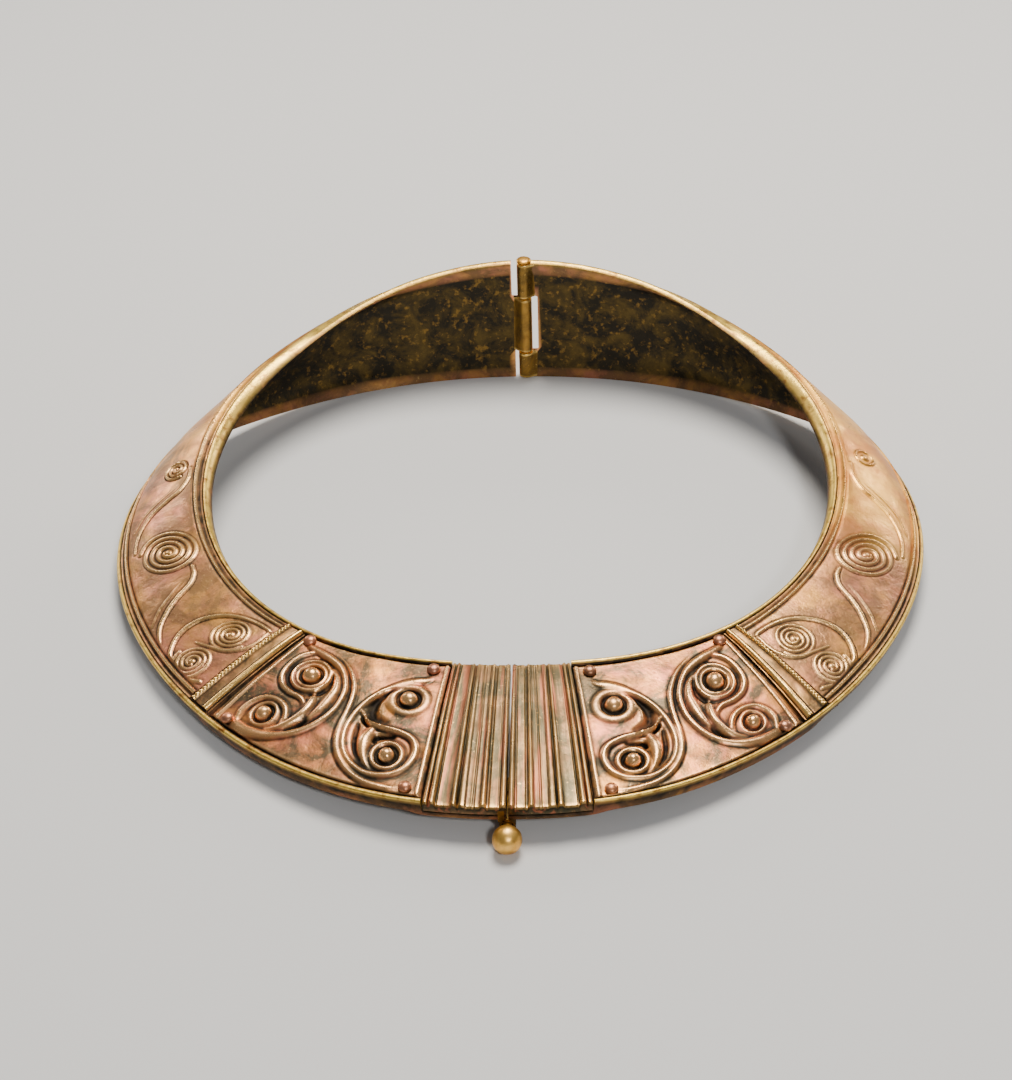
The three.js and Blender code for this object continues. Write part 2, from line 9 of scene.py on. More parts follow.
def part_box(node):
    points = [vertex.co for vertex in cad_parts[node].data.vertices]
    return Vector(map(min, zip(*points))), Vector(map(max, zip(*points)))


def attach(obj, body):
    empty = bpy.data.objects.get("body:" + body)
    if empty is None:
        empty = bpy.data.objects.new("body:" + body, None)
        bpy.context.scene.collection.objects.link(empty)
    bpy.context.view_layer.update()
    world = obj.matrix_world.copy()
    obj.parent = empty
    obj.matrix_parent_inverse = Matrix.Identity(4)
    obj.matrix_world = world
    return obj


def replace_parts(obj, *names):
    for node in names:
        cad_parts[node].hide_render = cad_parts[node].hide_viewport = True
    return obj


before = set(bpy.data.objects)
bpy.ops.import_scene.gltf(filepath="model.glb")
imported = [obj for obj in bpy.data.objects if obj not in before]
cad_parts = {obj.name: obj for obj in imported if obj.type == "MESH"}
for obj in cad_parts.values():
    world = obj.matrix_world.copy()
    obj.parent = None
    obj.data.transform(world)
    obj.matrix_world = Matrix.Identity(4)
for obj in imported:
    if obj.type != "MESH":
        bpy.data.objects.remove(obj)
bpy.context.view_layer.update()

# A hinged neck collar of sheet bronze. Lengths below are in millimetres, and MM turns them into metres.
# A place on the band is (s, q, h): s along its middle line from the clasp seam, q across it (negative
# towards the neck), h above the decorated face. Each half is worked out as the right one, then mirrored.
MM = 0.001
SIDES = {"right": 1, "left": -1}

# ---- The band's surface -------------------------------------------------------------------------------

NECK_ACROSS = (62.4, -0.049, -0.183)
NECK_ALONG = (19.2, -75.9, 1.5, 6.1)
NECK_RISE = (12.7, -5.1, 17.0, 8.8)
OUTER_ACROSS = (87.2, -0.489, 0.0)
OUTER_ALONG = (-13.0, -92.0, 13.4, 1.6)
OUTER_HEIGHT = 5.4
FRONT_LIFT, FRONT_LIFT_TURN = 2.75, 0.35
FOOT_FROM, FOOT_OVER, FOOT_BELOW = 0.81, 0.19, 0.3
OUTER_LEAD = 0.471
SHIFT_BACK = 1.8
SEAM_GAP = 0.4
SHEET = 1.2
CROWN_CLASP, CROWN_SIDE, CROWN_HINGE = 0.6, 4.2, 1.2
CROWN_TOWARDS_NECK, CROWN_FLATTENS_FROM = 0.72, 0.89
TURN_UP_FROM, TURN_UP_OVER = 0.75, 0.2
DRIFT_FRONT, DRIFT_SIDE, DRIFT_SLANT, DRIFT_ACROSS = 0.75, 0.45, 0.07, 1.0

PANEL_START, PANEL_END = 15.2, 59.2
BAR_START, BAR_END = 60.2, 65.8
SEAM_CLOSE = 0.22
TERMINAL_END = 14.8
PANEL_TRAY, TERMINAL_TRAY, BAR_TRAY = 1.6, 2.4, 0.4
CLEAR = 0.3
RIM = 1.3


def ease(x):
    c = np.clip(x, 0.0, 1.0)
    return c * c * (3 - 2 * c)


def turn_share(t):
    return (1 - np.cos(t)) / 2


def plan(t, across, along):
    half, swell, pinch = across
    x = half * np.sin(t) * (1 + swell * np.cos(t) + pinch * np.cos(2 * t))
    return x, sum(a * np.cos(k * t) for k, a in enumerate(along))


def neck_edge(t):
    c = turn_share(t)
    x, y = plan(t, NECK_ACROSS, NECK_ALONG)
    return np.stack([x, y, sum(a * c**k for k, a in enumerate(NECK_RISE))], -1)


def outer_edge(t):
    c = turn_share(t)
    x, y = plan(t, OUTER_ACROSS, OUTER_ALONG)
    lift = FRONT_LIFT * np.maximum(0, 1 - c / FRONT_LIFT_TURN) ** 2
    drop = ease((c - FOOT_FROM) / FOOT_OVER)
    return np.stack([x, y, (OUTER_HEIGHT + lift) * (1 - drop) - FOOT_BELOW * drop], -1)


def ruled(t, u):
    u = np.asarray(u)[..., None]
    return neck_edge(t) * (1 - u) + outer_edge(t + OUTER_LEAD * np.sin(t)) * u


def facing(t, u):
    step = 1e-3
    across = ruled(t, u + step) - ruled(t, u - step)
    along = ruled(t + step, u) - ruled(t - step, u)
    n = np.cross(across, along)
    return n / np.linalg.norm(n, axis=-1, keepdims=True)


def on_edge(t):
    return ease((turn_share(t) - TURN_UP_FROM) / TURN_UP_OVER)


def crown(t, u):
    share = turn_share(t)
    side = CROWN_CLASP + (CROWN_SIDE - CROWN_CLASP) * ease(share / TURN_UP_FROM)
    flattened = ease((share - CROWN_FLATTENS_FROM) / (1 - CROWN_FLATTENS_FROM))
    depth = side + (CROWN_HINGE - side) * flattened
    across = 2 * np.clip(u, 0, 1) ** CROWN_TOWARDS_NECK - 1
    return depth * (1 - np.abs(across) ** (2 + 2 * ease(share)))


TURNS = np.linspace(0, np.pi, 721)
MIDDLE = ruled(TURNS, np.full(721, 0.5))
LENGTHS = np.r_[0, np.cumsum(np.linalg.norm(np.diff(MIDDLE, axis=0), axis=1))]
BAND_LENGTH = float(LENGTHS[-1])


def turn_at(s):
    s = np.asarray(s, float)
    slope = (LENGTHS[-1] - LENGTHS[-2]) / (np.pi / 720)
    t = np.interp(s, LENGTHS, TURNS)
    t = np.where(s < 0, s / slope, t)
    return np.where(s > BAND_LENGTH, np.pi + (s - BAND_LENGTH) / slope, t)


def width_at(s):
    t = turn_at(s)
    zero = np.zeros_like(t)
    return np.linalg.norm(ruled(t, zero) - ruled(t, zero + 1), axis=-1)


def drifted(s, q, side):
    """The figures drift a little, in opposite directions on the two halves."""
    past_panel = ease((s - 58) / 12)
    front = DRIFT_FRONT * ease((s - 20) / 32) + DRIFT_SIDE * past_panel
    along = front - (DRIFT_FRONT + DRIFT_SIDE) * ease((s - 112) / 28)
    slant = DRIFT_SLANT * ease((s - 28) / 18) * (1 - past_panel)
    across = DRIFT_ACROSS * ease(s / 15) * (1 - ease((s - 60) / 20))
    inside = np.maximum(0, 1 - (2 * q / width_at(s)) ** 2)
    return s - side * (along + slant * q), q + side * across * inside


def on_band(s, q, h, side):
    """Where (s, q, h) is on one half, in metres."""
    s, q, h = (a.astype(float) for a in np.broadcast_arrays(s, q, h))
    s, q = drifted(s, q, side)
    t = turn_at(s)
    u = 0.5 + q / width_at(s)
    out = crown(t, u) + SHEET * on_edge(t) + h
    place = ruled(t, u) + facing(t, u) * out[..., None]
    place = place + np.array([SEAM_GAP / 2, SHIFT_BACK, 0])
    return place * np.array([side, 1, 1]) * MM


def stretch_at(s, q):
    """How much longer a step along s is at (s, q) than on the middle line."""
    ahead = on_band(s + 0.5, q, 0.0, 1)
    behind = on_band(s - 0.5, q, 0.0, 1)
    return np.linalg.norm(ahead - behind, axis=-1) / MM


# ---- Raised work --------------------------------------------------------------------------------------


def traced(points, step=0.15, closed=False):
    """A smooth path through rows of numbers, in steps of about the given length."""
    p = np.array(points, float)
    if closed:
        p = np.vstack([p[-1], p, p[0], p[1]])
    else:
        p = np.vstack([2 * p[0] - p[1], p, 2 * p[-1] - p[-2]])
    runs = []
    for a, b, c, d in zip(p[:-3], p[1:-2], p[2:-1], p[3:]):
        n = max(2, int(np.hypot(*(c - b)[:2]) / step))
        x = (np.arange(n) / n)[:, None]
        runs.append(0.5 * (2 * b + (c - a) * x + (2 * a - 5 * b + 4 * c - d) * x**2 + (3 * b - a - 3 * c + d) * x**3))
    if not closed:
        runs.append(p[-2:-1])
    return np.vstack(runs)


def line(points, half_width, height):
    """A stroke whose half width and height may run from one end to the other."""
    steps = np.linspace(0, 1, len(points))
    width = np.interp(steps, np.linspace(0, 1, len(half_width)), half_width)
    rise = np.interp(steps, np.linspace(0, 1, len(height)), height)
    return [(s, q, w, h) for (s, q), w, h in zip(points, width, rise)]


def spiral(s, q, inner, outer, turns, start, hand, half_width, height):
    k = float(stretch_at(np.array(s), np.array(q)))
    points = []
    for i in range(int(turns * 16) + 1):
        share = i / (turns * 16)
        r = inner + (outer - inner) * share
        a = start + hand * share * turns * 2 * math.pi
        points.append((s + r * math.cos(a) / k, q + r * math.sin(a), half_width, height))
    return points


def blurred(field, cells):
    """The field softened over the given number of cells each way."""
    out = field
    for axis in (0, 1):
        for _ in range(2):
            pad = [(0, 0), (0, 0)]
            pad[axis] = (cells + 1, cells)
            total = np.cumsum(np.pad(out, pad, mode="edge"), axis=axis)
            n = field.shape[axis]
            take = lambda k: np.take(total, np.arange(k, k + n), axis=axis)
            out = (take(2 * cells + 1) - take(0)) / (2 * cells + 1)
    return out


class Relief:
    """Heights over a grid of places. Raised strokes melt into each other, and so do cut ones."""

    def __init__(self, s, q):
        self.s, self.q = np.broadcast_arrays(s, q)
        self.up = np.zeros(self.s.shape)
        self.down = np.zeros(self.s.shape)
        self.chased = np.zeros(self.s.shape)
        self.covered = np.zeros(self.s.shape)

    def stroke(self, points, cut=False, power=1.0, groove=0.16, melt=4.0):
        """A raised band with a chased line along both sides, or a plain hollow where cut is set."""
        path = traced(points)
        reach = path[:, 2].max() + 0.7
        near = (
            (self.s > path[:, 0].min() - reach)
            & (self.s < path[:, 0].max() + reach)
            & (self.q > path[:, 1].min() - reach)
            & (self.q < path[:, 1].max() + reach)
        )
        s, q = self.s[near], self.q[near]
        best = np.full(s.shape, 9e9)
        value = np.zeros(s.shape)
        beside = np.zeros(s.shape)
        for a in range(0, len(path), 24):
            part = path[max(0, a - 1) : a + 24]
            box = (
                (s > part[:, 0].min() - reach)
                & (s < part[:, 0].max() + reach)
                & (q > part[:, 1].min() - reach)
                & (q < part[:, 1].max() + reach)
            )
            if not box.any():
                continue
            away = (s[box][:, None] - part[:, 0]) ** 2 + (q[box][:, None] - part[:, 1]) ** 2
            nearest = away.argmin(1)
            d2 = away[np.arange(len(nearest)), nearest]
            wide, high = np.maximum(part[nearest, 2], 0.05), np.maximum(part[nearest, 3], 0)
            x2 = d2 / wide**2
            shape = high * np.clip(1 - x2, 0, 1) ** power
            chase = np.minimum(1, high / 0.4) * np.exp(-(((np.sqrt(d2) - wide - 0.1) / 0.17) ** 2))
            closer = x2 < best[box]
            best[box] = np.where(closer, x2, best[box])
            value[box] = np.where(closer, shape, value[box])
            beside[box] = np.where(closer, chase, beside[box])
        field = self.down if cut else self.up
        field[near] = (field[near] ** melt + value**melt) ** (1 / melt)
        if not cut:
            self.chased[near] = np.maximum(self.chased[near], groove * beside)
            self.covered[near] = np.maximum(self.covered[near], np.clip((1 - np.sqrt(best)) / 0.12, 0, 1))

    def away_from(self, s, q):
        k = float(stretch_at(np.array(s), np.array(q)))
        return np.hypot((self.s - s) * k, self.q - q)

    def ring(self, s, q, radius, half_width, height, cut=False):
        x2 = ((self.away_from(s, q) - radius) / half_width) ** 2
        value = height * np.clip(1 - x2, 0, 1)
        field = self.down if cut else self.up
        np.copyto(field, (field**4 + value**4) ** 0.25)
        if not cut:
            self.covered = np.maximum(self.covered, np.clip((1 - np.sqrt(x2)) / 0.12, 0, 1))

    def boss(self, s, q, radius, height):
        """A round knob in a socket: it stands clear of whatever is around it."""
        x2 = (self.away_from(s, q) / radius) ** 2
        knob = height * np.clip(1 - x2, 0, 1) ** 0.5
        inside = x2 < 1.15
        self.down[inside] = 0
        self.covered[inside] = 1
        self.up = np.where(inside, knob, self.up)

    def clear(self, s, q, radius):
        """Fades what is under a boss."""
        keep = ease((self.away_from(s, q) - radius) / 0.6)
        self.up *= keep
        self.chased *= keep

    def height(self):
        return self.up - self.down - self.chased * (1 - self.covered)


# The front panel's scrolls, as rows of (s, q, half width, height).
COMMA = [
    (18.9, -14.0, 0.7, 0.0), (20.2, -12.7, 1.0, 0.35), (22.2, -11.8, 1.3, 0.6), (24.6, -10.9, 1.25, 0.65), (27.2, -9.1, 1.1, 0.65),
    (30.0, -6.4, 0.9, 0.65), (32.2, -3.0, 0.75, 0.65), (33.3, 0.6, 0.72, 0.6), (33.6, 4.8, 0.75, 0.6),
    (32.7, 8.8, 0.75, 0.6), (30.6, 12.0, 0.8, 0.6), (27.4, 14.1, 0.8, 0.6), (24.6, 14.5, 0.85, 0.6),
    (21.6, 13.7, 0.9, 0.6), (19.4, 11.8, 0.9, 0.6), (18.3, 9.0, 0.9, 0.6), (18.5, 6.3, 0.9, 0.65),
    (19.9, 4.3, 0.9, 0.75), (22.8, 3.2, 0.85, 0.95), (26.0, 2.9, 0.75, 1.15), (29.0, 2.4, 0.6, 1.25),
    (30.9, 1.1, 0.45, 1.1), (32.0, -0.5, 0.3, 0.8),
]
COMMA_HOLLOW = [
    (24.8, -9.0, 0.3, 0.15), (27.6, -7.4, 0.7, 0.4), (29.6, -4.8, 1.3, 0.75), (30.1, -2.0, 1.8, 1.0),
    (29.0, 0.2, 1.7, 0.9), (26.0, 1.3, 0.9, 0.3),
]
CRESCENT = [(31.5, 0.4, 0.25, 1.2), (30.9, 1.8, 0.45, 1.5), (29.6, 2.9, 0.3, 1.2)]
COMMA_SIDE_HOLLOW = [
    (31.8, 1.6, 0.4, 0.3), (31.5, 4.0, 0.9, 0.65), (31.0, 7.0, 0.9, 0.65), (29.8, 10.0, 0.7, 0.5),
    (28.2, 12.0, 0.4, 0.3),
]
LOBE = [(28.4, 3.8, 1.0, 0.5), (28.9, 6.4, 1.7, 0.95), (28.5, 9.2, 1.5, 0.8), (27.2, 11.8, 1.0, 0.4), (25.6, 13.2, 0.5, 0.0)]
TRIANGLE_PIT = [(23.2, 4.7, 0.3, 0.5), (25.0, 4.9, 0.5, 1.1), (26.6, 5.3, 0.75, 1.4), (27.0, 6.4, 0.5, 1.1)]
S_LINE = [
    (46.0, -12.8, 0.15, 0.1), (43.2, -11.8, 0.35, 0.3), (40.5, -10.3, 0.55, 0.45), (38.3, -8.2, 0.65, 0.5),
    (36.5, -5.6, 0.72, 0.55), (35.5, -2.4, 0.72, 0.55), (35.1, 1.2, 0.72, 0.55), (34.9, 4.6, 0.72, 0.55),
    (34.2, 8.2, 0.72, 0.55), (32.6, 11.4, 0.75, 0.55), (30.2, 14.1, 0.75, 0.55), (27.2, 16.0, 0.75, 0.5),
    (23.8, 16.8, 0.7, 0.4), (20.8, 16.9, 0.5, 0.15), (19.0, 16.6, 0.3, 0.0),
]
SWEEP = [
    (56.6, -12.0, 0.6, 0.1), (54.4, -11.6, 0.9, 0.45), (50.8, -11.4, 1.1, 0.65), (47.5, -11.1, 1.2, 0.7), (44.4, -10.4, 1.1, 0.65),
    (42.0, -9.1, 0.9, 0.6), (39.9, -7.0, 0.8, 0.6), (38.3, -4.2, 0.8, 0.6), (37.8, -1.1, 0.8, 0.6),
    (38.0, 1.7, 0.8, 0.6), (39.0, 4.8, 0.8, 0.6), (40.5, 7.4, 0.8, 0.6), (42.7, 9.9, 0.9, 0.65),
    (45.4, 11.8, 1.05, 0.7), (48.0, 12.9, 1.3, 0.8), (51.0, 13.4, 1.4, 0.8), (53.6, 13.0, 1.2, 0.5), (55.4, 12.6, 0.8, 0.1),
]
SWEEP_LOBE = [
    (44.6, -8.2, 0.7, 0.4), (41.9, -6.6, 0.9, 0.6), (40.4, -3.6, 1.4, 0.8), (40.3, -0.4, 1.6, 0.85),
    (40.7, 2.6, 1.3, 0.75), (41.6, 5.2, 0.8, 0.5),
]
SWEEP_HOLLOW = [
    (42.6, -5.2, 0.6, 0.3), (42.7, -3.4, 1.1, 0.7), (43.4, -1.5, 1.1, 0.75), (44.8, -0.2, 0.7, 0.4),
    (46.5, 0.4, 0.4, 0.2),
]
HOOK = [
    (51.2, -10.9, 0.5, 0.1), (53.0, -10.1, 0.8, 0.5), (54.6, -7.9, 0.9, 0.65), (55.0, -4.4, 0.85, 0.65), (54.2, -1.6, 0.85, 0.65),
    (52.2, 0.4, 0.85, 0.65), (49.4, 1.3, 0.8, 0.65), (46.6, 1.4, 0.7, 0.6), (45.0, 2.2, 0.6, 0.35),
    (44.2, 3.6, 0.4, 0.1),
]
TONGUE = [
    (44.2, -0.8, 0.8, 0.3), (43.3, 1.6, 1.2, 0.85), (43.1, 4.2, 1.3, 1.05), (44.0, 7.0, 1.15, 0.95), (45.7, 9.6, 0.9, 0.6),
    (47.6, 11.2, 0.6, 0.2),
]
TONGUE_PIT = [(41.8, 6.3, 0.25, 0.5), (42.8, 7.9, 0.45, 1.1), (44.3, 9.9, 0.3, 0.8)]
TAIL = [
    (45.9, 8.9, 0.5, 0.3), (46.2, 6.8, 0.7, 0.5), (47.8, 4.9, 0.8, 0.65), (50.4, 4.2, 0.85, 0.65),
    (53.0, 5.0, 0.85, 0.65), (54.5, 7.2, 0.85, 0.65), (54.9, 9.8, 0.8, 0.6), (54.3, 12.0, 0.6, 0.4),
]

RIVETS = [(19.3, -16.2), (56.6, -12.8), (18.4, 16.8), (55.6, 13.0)]


def panel_relief(s, q):
    edge = width_at(s) / 2
    work = Relief(s, q)
    for points in (COMMA, S_LINE, SWEEP, HOOK, TAIL):
        work.stroke(points)
    for points in (LOBE, SWEEP_LOBE, TONGUE):
        work.stroke(points, power=1.4, groove=0.0)
    for points in (COMMA_HOLLOW, COMMA_SIDE_HOLLOW, SWEEP_HOLLOW):
        work.stroke(points, cut=True, power=1.6)
    for points in (CRESCENT, TRIANGLE_PIT, TONGUE_PIT):
        work.stroke(points, cut=True, power=1.0)
    for at in ((22.9, -6.1), (23.6, 9.5), (48.15, -4.8), (50.5, 8.3)):
        work.clear(*at, 2.2)
    work.ring(22.9, -6.1, 3.8, 1.35, 0.5)
    work.ring(22.9, -6.1, 2.45, 0.6, 0.4, cut=True)
    work.boss(22.9, -6.1, 1.95, 1.7)
    work.ring(23.6, 9.5, 3.2, 0.65, 0.5)
    work.ring(23.6, 9.5, 2.2, 0.5, 0.45, cut=True)
    work.ring(23.6, 9.5, 4.1, 0.3, 0.2, cut=True)
    work.boss(23.6, 9.5, 1.7, 1.7)
    work.ring(48.15, -4.8, 3.15, 0.5, 0.4)
    work.ring(48.15, -4.8, 4.25, 0.55, 0.5)
    work.ring(48.15, -4.8, 3.7, 0.16, 0.16, cut=True)
    work.ring(48.15, -4.8, 2.5, 0.4, 0.45, cut=True)
    work.ring(48.15, -4.8, 5.0, 0.3, 0.2, cut=True)
    work.boss(48.15, -4.8, 2.0, 1.7)
    work.ring(50.5, 8.3, 2.8, 0.5, 0.35)
    work.ring(50.5, 8.3, 2.15, 0.45, 0.4, cut=True)
    work.boss(50.5, 8.3, 1.75, 1.6)
    h = blurred(work.height(), 1)
    for at, lift in ((PANEL_START + 0.9, 0.35), (PANEL_END - 1.3, 0.35)):
        h = h + lift * np.clip(1 - ((work.s - at) / 0.45) ** 2, 0, 1) ** 0.8
    rounded = np.clip(np.minimum(work.s - PANEL_START, PANEL_END - work.s) / 0.5, 0, 1)
    rounded = rounded * np.clip((edge - RIM - CLEAR - np.abs(work.q)) / 0.4, 0, 1)
    return h - 0.35 * (1 - rounded) ** 2


SIDE_COMMA = [
    (67.2, -9.2), (68.4, -9.4), (72.5, -9.0), (76.8, -7.6), (80.3, -5.0), (82.5, -1.0), (82.6, 3.0),
    (81.2, 6.6), (78.4, 9.7), (74.8, 11.5), (70.8, 11.4), (67.6, 9.8),
]
SIDE_LOOP = [(66.9, -8.3), (66.5, -5.0), (67.6, -1.4), (70.4, 1.2), (73.6, 2.3), (77.0, 3.6)]
WAVE_1 = [(82.0, 10.4), (86.5, 8.0), (89.8, 4.7), (92.5, 1.2), (95.6, -3.2), (98.6, -5.1), (101.6, -5.6)]
WAVE_2 = [(113.0, 7.4), (119.0, 6.2), (124.5, 3.0), (129.3, -1.6), (132.5, -5.2), (137.0, -7.3), (141.0, -7.2)]


def side_relief(s, q, side):
    work = Relief(s, q)
    for at, start, hand in (((73.2, -3.0), 0.6, 1), ((73.2, 7.5), 2.4, -1)):
        work.stroke(spiral(*at, 0.9, 4.8, 3.4, start, hand, 0.46, 0.26), groove=0.06)
        work.boss(*at, 0.75, 0.3)
    work.stroke(spiral(108.95, -1.2, 0.9, 7.7, 4.0, 1.2, 1, 0.62, 0.32), groove=0.08)
    work.boss(108.95, -1.2, 0.9, 0.35)
    work.stroke(line(SIDE_COMMA, (0.5, 0.7, 0.6, 0.55), (0.25, 0.4, 0.4, 0.3)), groove=0.1)
    work.stroke(line(SIDE_LOOP, (0.5, 0.55, 0.4), (0.25, 0.35, 0.2)), groove=0.08)
    work.stroke(line(WAVE_1, (0.45, 0.7, 0.6), (0.25, 0.4, 0.3)), groove=0.1)
    work.stroke(line([(s0 + 1.5, q0 + 1.5) for s0, q0 in WAVE_1[1:5]], (0.3, 0.4, 0.25), (0.1, 0.15, 0.05)))
    work.stroke(line(WAVE_2, (0.45, 0.65, 0.5), (0.25, 0.4, 0.25)), groove=0.1)
    work.stroke(line([(s0 + 1.6, q0 + 1.4) for s0, q0 in WAVE_2[1:5]], (0.3, 0.4, 0.25), (0.1, 0.15, 0.05)))
    if side > 0:
        work.ring(144.5, -2.4, 2.6, 0.5, 0.3)
        work.boss(144.5, -2.4, 1.2, 0.5)
    else:
        work.stroke(spiral(141.4, -3.0, 0.6, 3.6, 2.5, 0.5, 1, 0.45, 0.4))
    return work.height()


def lumps(s, q, size, seed):
    """Slow unevenness of hand-beaten sheet, between -1 and 1."""
    rng = np.random.default_rng(seed)
    total = np.zeros(np.broadcast(s, q).shape)
    for _ in range(9):
        a, b, phase = rng.uniform(-1, 1), rng.uniform(-1, 1), rng.uniform(0, 6.28)
        total += np.sin((s * a + q * b) * 6.28 / size + phase + 0.9 * np.sin((s * b - q * a) * 3 / size))
    return total / 5


# ---- Making meshes ------------------------------------------------------------------------------------


def hollow_and_worn(h, step):
    """Masks from the shape itself: grime stays in the hollows, and high edges rub bright."""
    fine = h - blurred(h, max(1, round(0.45 / step)))
    broad = h - blurred(h, max(2, round(1.5 / step)))
    hollow = np.clip(-fine / 0.13, 0, 1) * 0.75 + np.clip(-broad / 0.5, 0, 1) * 0.6
    worn = np.clip(fine / 0.12, 0, 1) * 0.7 + np.clip(broad / 0.55, 0, 1) * 0.5
    return np.clip(hollow, 0, 1), np.clip(worn, 0, 1)


def tube(stations, around):
    """A closed round bar with its ends shut, whose rings become a piece's sections."""
    bm = bmesh.new()
    bmesh.ops.create_cone(bm, cap_ends=True, segments=around, radius1=1, radius2=1, depth=2)
    uprights = [e for e in bm.edges if abs(e.verts[0].co.z - e.verts[1].co.z) > 1]
    bmesh.ops.subdivide_edges(bm, edges=uprights, cuts=stations - 2)
    return bm


def keep(bm, name, material, body, slot, smooth=40):
    """Turns worked geometry into a finished piece that moves with its half."""
    mesh = bpy.data.meshes.new(name)
    bm.to_mesh(mesh)
    bm.free()
    mesh.shade_smooth()
    mesh.set_sharp_from_angle(angle=math.radians(smooth))
    piece = bpy.data.objects.new(name, mesh)
    bpy.context.scene.collection.objects.link(piece)
    mesh.materials.append(material)
    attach(piece, body)
    return piece


def lofted(name, place, masks, material, body, slot, smooth=40):
    """A closed body through rows of points. place is (rings, points, 3) in metres; masks are per point."""
    rings, around = place.shape[:2]
    bm = tube(rings, around)
    angles = np.array([math.atan2(v.co.y, v.co.x) for v in bm.verts]) / (2 * math.pi) * around
    levels = np.array([v.co.z for v in bm.verts])
    j = np.round(angles).astype(int) % around
    if np.abs(angles - np.round(angles)).max() > 0.1:
        j = np.floor(angles).astype(int) % around
    i = np.clip(np.round((levels + 1) / 2 * (rings - 1)).astype(int), 0, rings - 1)
    mesh = bpy.data.meshes.new(name)
    kinds = {key: bm.verts.layers.float if values.ndim == 2 else bm.verts.layers.float_vector for key, values in masks.items()}
    layers = {key: kind.new(key) for key, kind in kinds.items()}
    flat = {key: values[i, j] for key, values in masks.items()}
    spots = place[i, j]
    for n, v in enumerate(bm.verts):
        v.co = spots[n]
        for key, layer in layers.items():
            v[layer] = flat[key][n]
    bpy.data.meshes.remove(mesh)
    bmesh.ops.recalc_face_normals(bm, faces=bm.faces)
    return keep(bm, name, material, body, slot, smooth)


def body_of(side):
    return "right_half" if side > 0 else "left_half"


# ---- Finishes -----------------------------------------------------------------------------------------


def put(tree, kind, **values):
    """A node with its settings, its constant inputs and its links in one go."""
    made = tree.nodes.new(kind)
    for key, value in values.items():
        if key.startswith("set_"):
            setattr(made, key[4:], value)
            continue
        socket = made.inputs[int(key[1:])] if key[0] == "i" and key[1:].isdigit() else made.inputs[key.replace("_", " ")]
        if isinstance(value, bpy.types.NodeSocket):
            tree.links.new(value, socket)
        else:
            socket.default_value = value
    return made


def noise(tree, where, scale, detail=4.0, roughness=0.55, distortion=0.0):
    made = put(tree, "ShaderNodeTexNoise", Vector=where, Scale=scale, Detail=detail, Roughness=roughness, Distortion=distortion)
    return made.outputs["Fac"]


def remap(tree, value, low, high, to_low=0.0, to_high=1.0):
    made = put(tree, "ShaderNodeMapRange", Value=value, From_Min=low, From_Max=high, To_Min=to_low, To_Max=to_high)
    return made.outputs["Result"]


def maths(tree, operation, a, b):
    return put(tree, "ShaderNodeMath", set_operation=operation, i0=a, i1=b).outputs[0]


def held(tree, value):
    """The value kept between 0 and 1."""
    return put(tree, "ShaderNodeClamp", Value=value).outputs[0]


def mixed(tree, share, a, b):
    made = put(tree, "ShaderNodeMix", set_data_type="RGBA", i0=share, i6=a, i7=b)
    return made.outputs[2]


